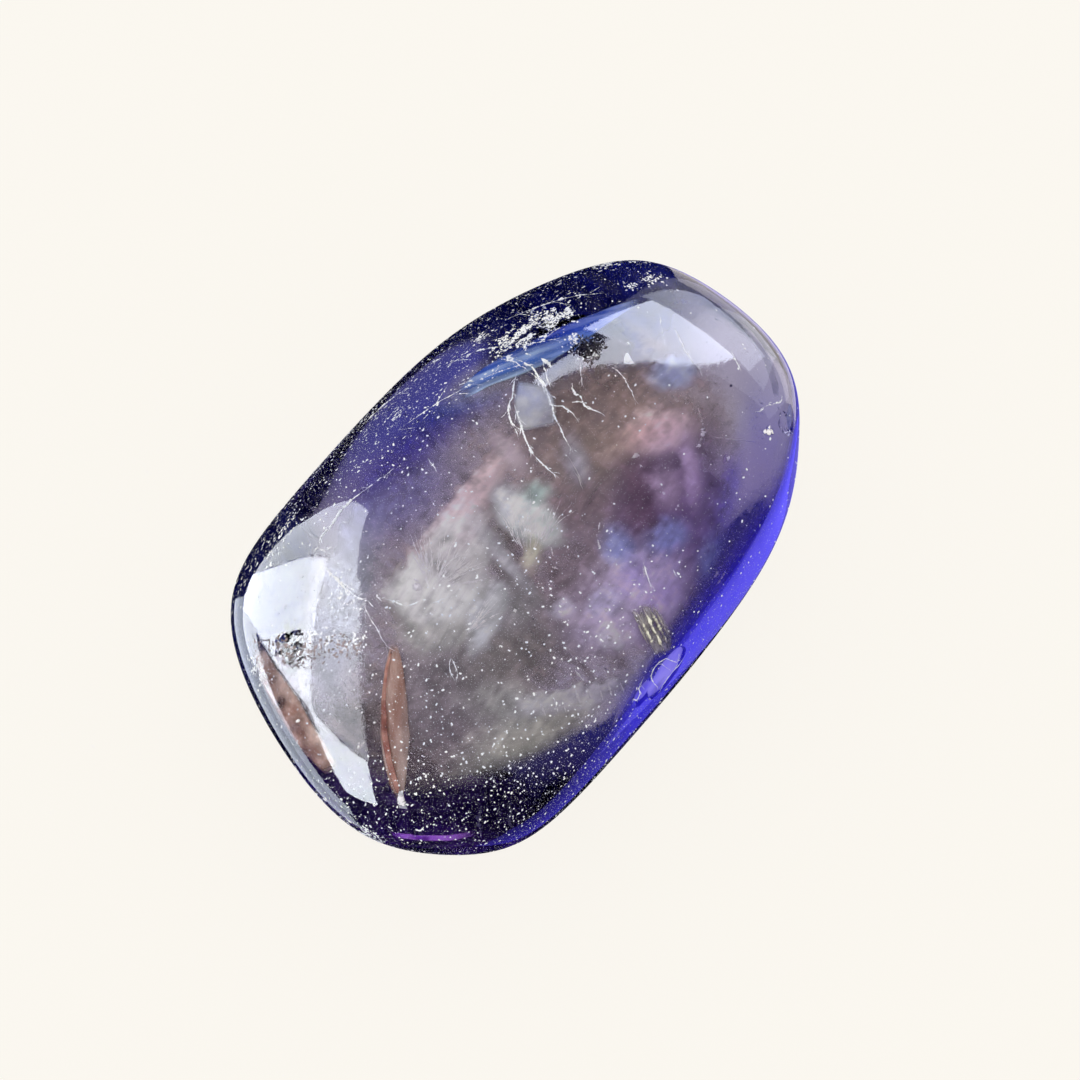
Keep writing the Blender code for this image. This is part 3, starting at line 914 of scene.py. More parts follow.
# glints: bright specks painted in as short thick pale threads at and just under the skin, painted highlights
glints = {
    "end": (0.06, 0.24, 0.02, 0.9, [(762, 431), (768, 433), (774, 431)]),
    "endTwo": (0.10, 0.16, 0.02, 0.9, [(766, 427), (771, 429)]),
    "one": (0.15, 0.18, 0.02, 0.8, [(632, 458), (637, 455), (640, 456)]),
    "two": (0.15, 0.14, 0.0, 0.8, [(640, 465), (643, 467)]),
    "three": (0.12, 0.16, 0.02, 0.8, [(696, 447), (701, 445)]),
    "four": (0.12, 0.18, 0.0, 0.8, [(726, 457), (730, 459)]),
    "heart": (0.25, 0.2, 0.03, 0.9, [(412, 585), (417, 587), (421, 590)]),
    "heartTwo": (0.3, 0.18, 0.02, 0.9, [(414, 579), (419, 582)]),
    "lilacOne": (0.3, 0.15, 0.02, 0.9, [(558, 611), (562, 612)]),
    "lilacTwo": (0.3, 0.18, 0.02, 0.9, [(607, 637), (613, 639)]),
    "lilacThree": (0.3, 0.18, 0.02, 0.9, [(604, 608), (608, 611)]),
    "white": (0.1, 0.2, 0.0, 0.8, [(513, 611), (517, 610)]),
    "cream": (0.2, 0.11, 0.02, 0.9, [(551, 547), (553, 556)]),
    "creamTwo": (0.2, 0.12, 0.02, 0.9, [(552, 567), (558, 569)]),
    "pane": (0.2, 0.10, 0.03, 0.9, [(716, 586), (722, 577), (727, 568)]),
    "paneTwo": (0.2, 0.08, 0.03, 0.9, [(714, 578), (719, 571)]),
    "blob": (0.0, 0.30, 0.02, 0.7, [(399, 796), (402, 801), (404, 806)]),
    "topDash": (0.0, 0.12, 0.02, 0.7, [(296, 722), (300, 720)]),
}
# one pale paint for the healed cracks and for the painted glints
innerPaint = mineralMaterial("healedCrack", (0.88, 0.85, 0.94), (1.0, 0.98, 1.0), 700.0, 0.5)
grow("innerThreads", threadMesh("innerLines", list(innerThreads.values())), threadsOnLines,
     Sides=5, Material=innerPaint)

# fine fibres that fan out in the milky heart and in the greenish cloud; degrees, reaches in picture px, mm
fibres = {
    "heart": {"from": (431, 592), "angles": (14, 112), "near": (6, 24), "far": (34, 68), "count": 60, "depth": 0.16,
        "thick": (0.014, 0.034)},
    "green": {"from": (531, 566), "angles": (62, 124), "near": (14, 34), "far": (44, 76), "count": 30,
        "depth": 0.16, "thick": (0.014, 0.030)},
    "wisp": {"from": (462, 640), "angles": (38, 62), "near": (4, 24), "far": (30, 56), "count": 16, "depth": 0.16,
        "thick": (0.012, 0.028)},
}


def fibreLines(fans):
    chance = np.random.default_rng(13)
    rows = []
    for fan in fans.values():
        x, y = fan["from"]
        for _ in range(fan["count"]):
            angle, bend = math.radians(chance.uniform(*fan["angles"])), chance.uniform(-0.25, 0.25)
            near, far = chance.uniform(*fan["near"]), chance.uniform(*fan["far"])
            spots = []
            for share in (0.0, 0.5, 1.0):
                reach, turn = near + (far - near) * share, angle + bend * share
                spots.append((x + reach * math.cos(turn), y - reach * math.sin(turn)))
            rows.append((fan["depth"], chance.uniform(*fan["thick"]), 0.05, 1.2, spots))
    return rows


grow("innerFibres", threadMesh("fibreLines", fibreLines(fibres)), threadsOnLines, Sides=4, Material=innerPaint)
grow("innerGlints", threadMesh("glintLines", list(glints.values())), threadsOnLines, Sides=7, Material=innerPaint)

# a bundle of pale yellowish needles near the right flank
needles = {
    "first": (0.05, 0.10, 0.03, 0.7, [(637, 612), (645, 628), (653, 645), (659, 656)]),
    "second": (0.04, 0.13, 0.03, 0.7, [(643, 608), (651, 624), (659, 641), (665, 653)]),
    "third": (0.05, 0.10, 0.03, 0.8, [(649, 608), (656, 620), (663, 634), (669, 648)]),
    "fourth": (0.06, 0.07, 0.03, 0.8, [(654, 609), (661, 621), (668, 635)]),
    "fifth": (0.06, 0.06, 0.03, 0.8, [(634, 616), (641, 631), (648, 644)]),
}
needlePaint = mineralMaterial("needles", (0.56, 0.54, 0.44), (0.98, 0.96, 0.82), 2600.0, 0.4)
grow("needleBundle", threadMesh("needleLines", list(needles.values()), 0.05), threadsOnLines,
     Sides=7, Material=needlePaint)
print("cracks drawn")


def cloudMesh(name, clouds, cells=22):
    # each cloud: spot of the picture, reach along and across, turn, depth in mm, amount, streak length
    bm = bmesh.new()
    amount = bm.verts.layers.float.new("amount")
    for number, (x, y, along, across, turn, depth, thickness, streak) in enumerate(clouds):
        t = math.radians(turn)
        grid = []
        for i in range(cells + 1):
            row = []
            for j in range(cells + 1):
                u, v = 2.4 * i / cells - 1.2, 2.4 * j / cells - 1.2
                sx = x + u * along * math.cos(t) + v * across * math.sin(t)
                sy = y - u * along * math.sin(t) + v * across * math.cos(t)
                point = bm.verts.new(insideAt(sx, sy, depth))
                frayed = noise.fractal(Vector((u * 2.2 / streak + number * 5.3, v * 2.2, number)), 0.9, 2.1, 5)
                edge = 1.0 - float(smoothStep(0.35, 1.15, np.array(math.hypot(u, v) + 0.45 * frayed)))
                point[amount] = thickness * edge * max(0.0, 0.75 + 0.9 * frayed)
                row.append(point)
            grid.append(row)
        for i in range(cells):
            for j in range(cells):
                bm.faces.new((grid[i][j], grid[i][j + 1], grid[i + 1][j + 1], grid[i + 1][j]))
    return meshFrom(name, bm)


# clouds of tiny fluid inclusions under the crown, and a few painted glints; spot, reach along and across, turn, depth
# in mm, amount, streak
milkClouds = {
    "heart": (434, 588, 40, 28, 12, 1.0, 1.0, 1.6), "heartCore": (420, 586, 15, 13, 0, 0.8, 1.0, 1.0),
    "fan": (458, 552, 34, 32, 35, 1.2, 0.75, 2.5), "domeLeft": (440, 616, 34, 20, 25, 1.5, 0.5, 1.0),
    "green": (527, 519, 30, 24, -30, 1.3, 0.8, 2.0), "greenTop": (535, 494, 16, 14, 0, 1.4, 0.5, 1.0),
    "greenFoot": (531, 553, 9, 18, 0, 1.3, 0.7, 1.5), "wispLow": (487, 617, 30, 13, 68, 1.0, 0.55, 2.0),
    "haze": (545, 737, 62, 26, 17, 0.9, 0.32, 1.2), "band": (583, 697, 54, 9, 14, 0.7, 0.75, 0.5),
    "bandLeft": (545, 702, 24, 9, 5, 0.7, 0.6, 0.6), "hazeTop": (500, 690, 34, 20, 0, 1.2, 0.3, 1.2),
    # the end glint and the four spots after it are painted glints: small dense patches of pale flecks
    "glintEnd": (768, 432, 7, 5, 0, 0.4, 1.0, 1.0), "glintSpotOne": (636, 456, 6, 5, 30, 0.6, 1.0, 1.0),
    "glintSpotTwo": (641, 466, 4, 3, 0, 0.6, 0.9, 1.0), "glintSpotThree": (699, 446, 5, 4, 0, 0.5, 1.0, 1.0),
    "glintSpotFour": (728, 458, 4, 4, 0, 0.5, 1.0, 1.0), "wispBottom": (479, 823, 4, 17, 5, 0.4, 0.6, 0.5),
    "wispBottomTwo": (511, 816, 4, 12, -8, 0.4, 0.6, 0.5), "wispBottomThree": (575, 780, 5, 10, 20, 0.4, 0.6, 0.5),
}
roseClouds = {
    "veil": (456, 506, 66, 13, 52, 1.6, 0.5, 2.5), "veilTop": (508, 452, 22, 9, -48, 1.4, 0.6, 2.0),
    "blotch": (657, 431, 26, 17, 15, 1.2, 0.55, 1.0), "blotchTwo": (600, 440, 18, 12, 0, 1.6, 0.35, 1.0),
    "line": (690, 470, 7, 26, 8, 0.8, 0.4, 1.0),
}
lilacClouds = {
    "one": (562, 609, 13, 10, 0, 0.9, 0.8, 1.0), "two": (610, 638, 10, 9, 0, 0.9, 0.9, 1.0),
    "three": (604, 602, 14, 12, 30, 1.0, 0.7, 1.0), "four": (580, 632, 26, 16, -30, 1.2, 0.4, 1.2),
    "five": (640, 590, 26, 18, 30, 1.3, 0.35, 1.2), "blue": (626, 545, 12, 16, 20, 1.0, 0.6, 1.0),
    "end": (757, 410, 12, 34, 0, 1.0, 0.35, 1.5), "patch": (674, 372, 19, 14, 10, 1.2, 0.4, 1.0),
    "glint": (722, 574, 9, 14, 20, 0.5, 0.8, 0.6), "right": (700, 540, 34, 40, 0, 1.6, 0.2, 1.2),
}
flecks = {"density": 560.0, "smallest": 0.010, "largest": 0.036, "depth": 0.5}  # per square mm at thickness 1, and mm
paints = {
    "milk": mineralMaterial("milkFlecks", (0.66, 0.70, 0.66), (0.93, 0.91, 0.92), 260.0, 0.5),
    "rose": mineralMaterial("roseFlecks", (0.62, 0.44, 0.46), (0.86, 0.70, 0.72), 300.0, 0.5),
    "lilac": mineralMaterial("lilacFlecks", (0.52, 0.46, 0.82), (0.80, 0.78, 0.96), 300.0, 0.5),
}
for number, (name, group) in enumerate({"milk": milkClouds, "rose": roseClouds, "lilac": lilacClouds}.items()):
    grow(name + "Clouds", cloudMesh(name + "Sheets", list(group.values())), flecksInside,
         Density=flecks["density"] * perSquare, Seed=51 + number, Smallest=flecks["smallest"] * mm,
         Largest=flecks["largest"] * mm, Depth=flecks["depth"] * mm, Material=paints[name])


def closedSheet(name, outer, inner, fade):
    # two grids of points joined round their edges into one thin closed sheet
    rows, columns = len(outer), len(outer[0])
    bm = bmesh.new()
    layer = bm.verts.layers.float.new("fade")
    sides = []
    for grid in (outer, inner):
        side = [[bm.verts.new(point) for point in row] for row in grid]
        for i in range(rows):
            for j in range(columns):
                side[i][j][layer] = fade[i][j]
        sides.append(side)
    for side in sides:
        for i in range(rows - 1):
            for j in range(columns - 1):
                bm.faces.new((side[i][j], side[i][j + 1], side[i + 1][j + 1], side[i + 1][j]))
    top, under = sides
    border = [(0, j) for j in range(columns)] + [(i, columns - 1) for i in range(1, rows)]
    border += [(rows - 1, j) for j in range(columns - 2, -1, -1)] + [(i, 0) for i in range(rows - 2, 0, -1)]
    for (a, b), (c, d) in zip(border, border[1:] + border[:1]):
        bm.faces.new((top[a][b], top[c][d], under[c][d], under[a][b]))
    bmesh.ops.recalc_face_normals(bm, faces=bm.faces)
    for face in bm.faces:
        face.smooth = True
    return meshFrom(name, bm)


def sheetInside(name, edges, depth, thickness, camber=0.0, cells=(48, 14)):
    # a sheet between a left and a right edge given as spots of the picture
    rows, columns = cells
    edges = np.array(edges, dtype=float)
    knots = np.linspace(0.0, 1.0, len(edges))
    outer, inner, fade = [], [], []
    for i in range(rows + 1):
        t = i / rows
        x0, y0, x1, y1 = [np.interp(t, knots, edges[:, k]) for k in range(4)]
        outer.append([]), inner.append([]), fade.append([])
        for j in range(columns + 1):
            u = j / columns
            x, y = x0 + (x1 - x0) * u, y0 + (y1 - y0) * u
            below = depth + camber * (1.0 - math.sin(math.pi * u))
            thin = thickness * max(0.15, math.sin(math.pi * u) * min(1.0, 6.0 * t, 6.0 * (1.0 - t)))
            outer[-1].append(insideAt(x, y, below))
            inner[-1].append(insideAt(x, y, below + thin))
            sides = float(smoothStep(0.0, 0.35, np.array(math.sin(math.pi * u))))
            ends = float(smoothStep(0.0, 0.12, np.array(min(t, 1.0 - t))))
            fade[-1].append(sides * ends)
    return closedSheet(name, outer, inner, fade)


# soft mottled veils under the crown, the milky one above the smoky one; the depth in mm, and for each spot
# its place, its reach along and across, its turn, how thick it is and its colour
veils = {
    "milkVeil": {"depth": 0.45, "grain": 1600.0, "spots": [
        (600, 430, 110, 60, 20, 0.5, (0.54, 0.42, 0.42)), (440, 700, 60, 64, 0, 0.52, (0.56, 0.50, 0.55)),
        (700, 540, 60, 92, 0, 0.50, (0.30, 0.21, 0.50)), (650, 530, 50, 74, 0, 0.5, (0.34, 0.23, 0.38)),
        (622, 600, 60, 42, 30, 1.0, (0.88, 0.78, 1.0)), (400, 486, 60, 44, 40, 0.40, (0.32, 0.30, 0.62)),
        (340, 610, 110, 30, 78, 0.45, (0.60, 0.66, 0.84)), (500, 655, 70, 40, 20, 0.46, (0.36, 0.33, 0.34)),
        (570, 560, 40, 60, 0, 0.40, (0.38, 0.28, 0.36)), (456, 516, 74, 12, 52, 1.3, (0.98, 0.78, 0.82)),
        (508, 452, 24, 10, -48, 0.6, (0.90, 0.76, 0.84)), (440, 618, 38, 28, 20, 1.0, (0.68, 0.67, 0.65)),
        (436, 588, 42, 26, 12, 1.5, (1.0, 1.0, 1.0)), (418, 586, 15, 11, 0, 1.5, (1.0, 1.0, 1.0)),
        (458, 550, 32, 28, 35, 1.0, (0.86, 0.84, 0.86)), (470, 530, 22, 9, 50, 0.55, (0.95, 0.88, 0.92)),
        (527, 519, 30, 18, -30, 1.4, (0.94, 1.0, 1.0)), (538, 492, 14, 10, 0, 0.5, (0.66, 0.86, 0.82)),
        (508, 506, 14, 22, 20, 0.6, (0.84, 0.86, 0.92)), (531, 552, 8, 17, 0, 0.6, (0.92, 0.88, 0.72)),
        (487, 617, 32, 11, 68, 1.0, (0.86, 0.88, 0.96)), (546, 738, 74, 28, 17, 0.9, (0.80, 0.78, 0.74)),
        (510, 705, 40, 22, 0, 0.5, (0.68, 0.68, 0.68)), (583, 696, 58, 10, 14, 1.2, (0.82, 0.80, 0.88)),
        (545, 702, 26, 8, 5, 0.66, (0.88, 0.88, 0.94)), (657, 431, 30, 18, 15, 1.1, (1.0, 0.82, 0.90)),
        (628, 440, 30, 14, 30, 0.5, (0.70, 0.54, 0.56)), (562, 609, 12, 9, 0, 1.0, (0.86, 0.80, 1.0)),
        (610, 638, 10, 9, 0, 1.2, (0.92, 0.88, 1.0)), (604, 602, 15, 12, 30, 0.9, (0.82, 0.76, 1.0)),
        (632, 578, 12, 18, -20, 0.6, (0.72, 0.62, 0.96)), (660, 600, 22, 12, 40, 0.5, (0.72, 0.60, 0.94)),
        (665, 536, 22, 15, 20, 0.62, (0.52, 0.60, 0.98)), (618, 545, 14, 18, 20, 0.56, (0.50, 0.54, 0.98)),
        (757, 408, 16, 40, -8, 0.7, (0.46, 0.54, 0.98)), (674, 372, 20, 15, 10, 0.8, (0.74, 0.80, 1.0)),
        # the pale blue spot at (721, 570) is a painted glint
        (721, 570, 10, 20, 20, 1.1, (0.80, 0.90, 1.0)), (690, 468, 9, 34, 8, 0.56, (0.78, 0.62, 0.84)),
        (666, 488, 16, 20, 8, 0.5, (0.78, 0.62, 0.76)), (746, 490, 20, 60, -14, 0.6, (0.34, 0.28, 0.80)),
        (772, 480, 11, 76, -14, 0.85, (0.30, 0.26, 1.0)), (736, 586, 12, 44, -52, 0.8, (0.30, 0.25, 1.0)),
        (716, 560, 16, 26, -20, 0.5, (0.46, 0.56, 0.84)), (576, 460, 12, 26, 20, 0.5, (0.64, 0.62, 0.80)),
        # the grey spot at (506, 560) is that wedge again, painted shadow
        (520, 760, 80, 14, 16, 0.4, (0.60, 0.60, 0.54)), (506, 560, 44, 9, -52, 0.55, (0.70, 0.69, 0.74)),
        (500, 604, 34, 24, 0, 0.4, (0.62, 0.62, 0.65)), (640, 500, 40, 16, 100, 0.5, (0.26, 0.16, 0.22)),
        (585, 505, 26, 18, 30, 0.4, (0.34, 0.24, 0.28)), (660, 640, 16, 34, 40, 0.3, (0.30, 0.2, 0.5))],
    },
    "smokeVeil": {"depth": 2.4, "grain": 360.0, "spots": [
        # the first spot is the same wedge, a near-black painted shadow
        (503, 556, 56, 14, -52, 0.75, (0.15, 0.14, 0.15)), (505, 655, 60, 24, 25, 0.5, (0.10, 0.085, 0.08)),
        (648, 520, 60, 40, 50, 0.45, (0.15, 0.08, 0.16)), (590, 470, 60, 40, 0, 0.4, (0.46, 0.38, 0.30)),
        (420, 735, 60, 56, 0, 0.6, (0.08, 0.07, 0.09)), (570, 400, 60, 30, 20, 0.35, (0.36, 0.29, 0.25)),
        (700, 430, 30, 24, 0, 0.4, (0.14, 0.10, 0.16)), (585, 570, 30, 20, 0, 0.4, (0.20, 0.15, 0.17))],
    },
}


# the oval that both veils fill: its middle and its reach in picture px, its turn in degrees, and mm
veilOval = {"middle": (517, 556), "along": 286, "across": 178, "turn": 47.8, "thickness": 0.05, "swell": 0.25}


def veilMesh(name, depth, spots, cells=(200, 136)):
    # an oval sheet under the crown, coloured and thinned by its spots and mottled all over
    rows, columns = cells
    t = math.radians(veilOval["turn"])
    (middleX, middleY), far, wide = veilOval["middle"], veilOval["along"], veilOval["across"]
    outer, inner, xs, ys, rim = [], [], [], [], []
    for i in range(rows + 1):
        outer.append([]), inner.append([])
        for j in range(columns + 1):
            u, v = 2.0 * i / rows - 1.0, 2.0 * j / columns - 1.0
            along, across = u * math.sqrt(1 - v * v / 2), v * math.sqrt(1 - u * u / 2)
            rim.append(math.hypot(along, across))
            x = middleX + far * along * math.cos(t) + wide * across * math.sin(t)
            y = middleY - far * along * math.sin(t) + wide * across * math.cos(t)
            swell = veilOval["swell"] * noise.noise(Vector((x * 0.012, y * 0.012, depth)))
            outer[-1].append(insideAt(x, y, depth + swell))
            inner[-1].append(insideAt(x, y, depth + swell + veilOval["thickness"]))
            xs.append(x), ys.append(y)
    xs, ys = np.array(xs), np.array(ys)
    patches = [Vector(((x - y) * 0.030, (x + y) * 0.012, 4.0)) for x, y in zip(xs, ys)]
    speckles = [Vector(((x + y) * 0.09, (x - y) * 0.05, 8.0)) for x, y in zip(xs, ys)]
    patchy = np.array([noise.fractal(place, 0.7, 2.2, 6) for place in patches])
    speckled = np.array([noise.fractal(place, 0.7, 2.2, 4) for place in speckles])
    colour = np.tile(np.array(spots[0][-1]), (len(xs), 1))
    clear = 1.0 - 0.42 * np.clip(np.abs(patchy) + 0.6 * np.abs(speckled) - 0.1, 0.0, 0.8)
    drifted, sunk = xs + 5.0 * patchy + 2.5 * speckled, ys + 4.0 * speckled
    for x, y, along, across, turn, amount, tone in spots:
        share = np.minimum(1.0, amount * softSpot(drifted, sunk, x, y, along, across, turn, 0.66))
        clear *= 1.0 - share
        colour += (np.array(tone) - colour) * np.minimum(1.0, share * 1.8)[:, None]
    fade = (1.0 - clear) * (1.0 - smoothStep(0.86, 1.0, np.array(rim)))
    mesh = closedSheet(name, outer, inner, fade.reshape(rows + 1, columns + 1).tolist())
    colour = np.clip(colour * (1.0 + 0.34 * patchy + 0.3 * speckled)[:, None], 0.0, 1.0)
    colourAttribute(mesh, "tone", np.concatenate([colour, colour]))
    return mesh


def veilMaterial(name, grain):
    # mottled grey to white, times the tone that its spots give it
    material = mineralMaterial(name, (0.84, 0.82, 0.85), (1.0, 1.0, 1.0), grain, 0.6, stretch=(0.35, 2.2, 1.0),
                               turn=(0.0, 0.0, 0.15), fade="fade", clearness=(0.05, 0.34))
    tree = material.node_tree
    shader = next(node for node in tree.nodes if node.type == "BSDF_PRINCIPLED")
    tone = attributeNode(tree, "tone", (-50, 400))
    both = addNode(tree, "ShaderNodeMix", (200, 300), data_type="RGBA", blend_type="MULTIPLY")
    both.inputs["Factor"].default_value = 1.0
    link(tree, tone.outputs["Color"], both.inputs["A"])
    link(tree, shader.inputs["Base Color"].links[0].from_socket, both.inputs["B"])
    link(tree, both.outputs["Result"], shader.inputs["Base Color"])
    return material


for name, veil in veils.items():
    sheet = addObject(name, veilMesh(name, veil["depth"], veil["spots"]))
    sheet.data.materials.append(veilMaterial(name, veil["grain"]))
    rideStone(sheet)
print("veils hung")

# iron stain: the leaf-shaped lens by the left window and the tan strip along the lower left rim; its left and
# right edge in the picture from top to bottom, depth, thickness and camber in mm
stains = {
    "leaf": (
        [(391, 640, 397, 640), (384, 668, 404, 668), (380, 700, 408, 700), (379, 735, 411, 735),
         (383, 762, 409, 762), (389, 785, 406, 785), (397, 800, 403, 800)], 0.28, 0.12, 0.1),
    "leafEdge": (
        [(392, 646, 394, 646), (385, 668, 388, 668), (381, 700, 386, 700), (381, 735, 388, 735),
         (386, 762, 393, 762), (393, 785, 399, 785), (399, 799, 402, 799)], 0.2, 0.05, 0.0),
    "tanStrip": (
        [(252, 646, 262, 644), (260, 680, 280, 672), (272, 706, 298, 696), (288, 732, 312, 722),
         (304, 754, 326, 744), (326, 776, 340, 770)], 0.3, 0.08, 0.1),
}
stainPaints = {
    "leaf": mineralMaterial("leafStain", (0.50, 0.27, 0.21), (0.96, 0.76, 0.68), 1100.0, 0.5,
        stretch=(0.3, 1.2, 1.0), turn=(0.0, 0.0, 0.7), fade="fade", clearness=(0.16, 0.54)),
    "leafEdge": mineralMaterial("leafEdgeStain", (0.40, 0.13, 0.10), (0.72, 0.38, 0.30), 1400.0, 0.5, fade="fade",
        clearness=(0.2, 0.5)),
    "tanStrip": mineralMaterial("tanStain", (0.50, 0.29, 0.21), (0.92, 0.72, 0.58), 1600.0, 0.5, fade="fade",
        clearness=(0.2, 0.55)),
}
for name, (edges, depth, thickness, camber) in stains.items():
    piece = addObject(name + "Stain", sheetInside(name + "Stain", edges, depth, thickness, camber))
    piece.data.materials.append(stainPaints[name])
    rideStone(piece)

# pale films under the skin: open crack and needle planes, and painted reflections and glints where the light is
# mirrored; edges, depth and thickness as above
films = {
    "lilacTail": (
        [(518, 380, 545, 384), (513, 400, 555, 398), (514, 418, 557, 412), (522, 432, 557, 426)], 0.3, 0.03),
    # the blue sheen along the bevel ridge is painted reflection: a streaky pale blue film under the ridge
    "blueSheen": (
        [(452, 396, 462, 402), (478, 370, 490, 386), (508, 352, 520, 376), (540, 336, 552, 362),
         (575, 320, 584, 342), (612, 306, 617, 318), (638, 298, 641, 303)], 0.35, 0.03),
    # the pale sliver along the right end is painted sheen
    "paleSliver": (
        [(738, 322, 746, 324), (752, 340, 762, 344), (764, 362, 773, 366), (771, 384, 779, 386),
         (774, 398, 779, 398)], 0.3, 0.03),
    "needle": ([(630, 610, 652, 600), (638, 624, 662, 614), (647, 640, 671, 631), (656, 658, 677, 650)], 0.12, 0.03),
    "violetArc": (
        [(390, 832, 392, 837), (420, 835, 421, 841), (450, 835, 450, 841), (476, 830, 478, 836)], 0.1, 0.03),
    # the end triangle and the white blob are painted glints, pale films in the residue paint
    "endTriangle": ([(789, 404, 791, 404), (786, 416, 792, 418), (788, 428, 790, 430)], 0.12, 0.03),
    "midTriangle": ([(626, 353, 628, 353), (624, 358, 632, 360), (624, 364, 635, 364)], 0.08, 0.03),
    "whiteBlob": ([(399, 791, 403, 792), (397, 800, 405, 802), (399, 808, 407, 809)], 0.1, 0.05),
}
filmPaints = {
    "lilacTail": mineralMaterial("lilacFilm", (0.70, 0.74, 0.96), (0.96, 0.98, 1.0), 900.0, 0.25, fade="fade",
        clearness=(0.1, 0.7)),
    "blueSheen": mineralMaterial("blueSheen", (0.08, 0.20, 0.66), (0.72, 0.88, 1.0), 1500.0, 0.3,
        stretch=(0.12, 1.6, 1.0), turn=(0.0, 0.0, -0.43), fade="fade", clearness=(0.15, 0.5)),
    "needle": mineralMaterial("needleFilm", (0.50, 0.50, 0.46), (0.98, 0.96, 0.84), 3200.0, 0.4,
        stretch=(0.10, 1.2, 1.0), turn=(0.0, 0.0, 1.22), fade="fade", clearness=(0.36, 0.62)),
    "violetArc": mineralMaterial("violetFilm", (0.40, 0.16, 0.66), (0.85, 0.55, 1.0), 1400.0, 0.4, fade="fade",
        clearness=(0.2, 0.6)),
    "paleSliver": mineralMaterial("paleFilm", (0.62, 0.58, 0.66), (0.92, 0.88, 0.86), 700.0, 0.3, fade="fade",
        clearness=(0.2, 0.8)),
}
for name, (edges, depth, thickness) in films.items():
    piece = addObject(name + "Film", sheetInside(name + "Film", edges, depth, thickness, cells=(20, 10)))
    piece.data.materials.append(filmPaints.get(name, residueAndGlintPaint))
    rideStone(piece)
print("stains and films laid")

# the zones that show pure violet blue through the right flank, navy through the upper left one and violet
# through the lower left one; bearings and leans in degrees
flankZones = {
    # the right flank's sheet is the stone's own blue and painted light as well: its bright blue stands in for light
    # let through the thin rim
    "blueZone": {"from": 14.0, "to": -118.0, "low": -8.0, "crest": 0.62, "dark": (0.08, 0.055, 0.90),
        "pale": (0.26, 0.22, 1.0)},
    "navyZone": {"from": -4.0, "to": 156.0, "low": -32.0, "crest": 0.16, "dark": (0.020, 0.030, 0.28),
        "pale": (0.11, 0.16, 0.80)},
    "violetZone": {"from": -124.0, "to": -186.0, "low": -26.0, "crest": 0.34, "dark": (0.05, 0.02, 0.24),
        "pale": (0.55, 0.26, 0.95)},
}
zoneInset, zoneThickness = 0.12, 0.1  # mm
zoneHighest, zoneTries = 62.0, 160  # degrees, and how many leans are tried for the crest


def flankZoneMesh(name, zone, cells=(120, 20)):
    # from a low line up to where the skin turns upward by the crest
    rows, columns = cells
    outer, inner, fade = [], [], []
    leans = np.linspace(zone["low"], zoneHighest, zoneTries)
    for i in range(rows + 1):
        t = i / rows
        bearing = zone["from"] + (zone["to"] - zone["from"]) * t
        turned = skinNormals(skinPoints(np.array([heading(bearing, lean) for lean in leans])))[:, 2]
        high = leans[np.argmax(turned > zone["crest"])]
        climb = [zone["low"] + (high - zone["low"]) * j / columns for j in range(columns + 1)]
        points = skinPoints(np.array([heading(bearing, lean) for lean in climb]))
        normals = skinNormals(points)
        outer.append(toFrame(points - normals * zoneInset))
        inner.append(toFrame(points - normals * (zoneInset + zoneThickness)))
        ends = float(smoothStep(0.0, 0.14, np.array(min(t, 1.4 * (1.0 - t)))))
        up = [np.array(min(1.6 * j / columns, 1.0 - j / columns)) for j in range(columns + 1)]
        fade.append([ends * float(smoothStep(0.0, 0.4, share)) for share in up])
    return closedSheet(name, outer, inner, fade)


for name, zone in flankZones.items():
    sheet = addObject(name, flankZoneMesh(name, zone))
    paint = mineralMaterial(name, zone["dark"], zone["pale"], 700.0, 0.6, fade="fade", clearness=(0.0, 0.4))
    sheet.data.materials.append(paint)
    rideStone(sheet)
print("flank zones laid")

studio = {
    "floorColour": (0.965, 0.935, 0.875), "floorGlow": 0.92, "floorReach": 3.0, "floorDrop": 0.0001,  # metres
    "skyColour": (1.0, 0.985, 0.955), "skyStrength": 1.0, "lampsAround": (0.0, 0.0, 0.006),
    # each window: bearing, lean and distance from the stone, colour, then its panes: across, up, width and height
    # in metres, roll, strength
    "windows": {
        "leftWindow": (132, 32, 0.30, (0.88, 0.93, 1.0), [
            (-0.100, -0.186, 0.107, 0.41, -27, 17.0), (-0.018, 0.058, 0.056, 0.095, -27, 9.5),
            (0.030, 0.031, 0.066, 0.09, -27, 5.5),
            (-0.172, -0.084, 0.110, 0.47, -27, 7.5), (0.113, -0.017, 0.122, 0.096, -27, 17.0),
            (-0.0545, -0.3218, 0.096, 0.21, -27, 11.0)]),
        "rightWindow": (20, 24, 0.30, (0.78, 0.84, 1.0), [
            (0.0113, 0.0054, 0.040, 0.0925, -19, 10.0), (0.033, 0.109, 0.014, 0.125, -17, 9.0),
            (-0.0241, -0.0911, 0.064, 0.113, -19, 3.0),
            (-0.060, -0.16, 0.070, 0.28, -10, 1.2)]),
        "rightWall": (16, 12, 0.36, (0.80, 0.80, 1.0), [(-0.07, -0.06, 0.24, 0.36, -8, 1.0)]),
        "tableCard": (138, -36, 0.30, (0.80, 0.88, 1.0),
            [(0.0, 0.0, 0.30, 0.16, 0, 3.5), (0.06, 0.13, 0.22, 0.1, 0, 6.0)]),
        "warmCard": (4, -26, 0.30, (1.0, 0.93, 0.88), [(0.0, 0.0, 0.20, 0.22, 0, 1.5)]),
        "rimCard": (-10, -50, 0.30, (0.24, 0.21, 1.0), [(0.0, 0.0, 0.28, 0.22, 0, 0.75)]),
        "lowCard": (-62, -60, 0.30, (0.11, 0.09, 1.0), [(0.0, 0.0, 0.34, 0.14, 0, 1.0)]),
    },
}


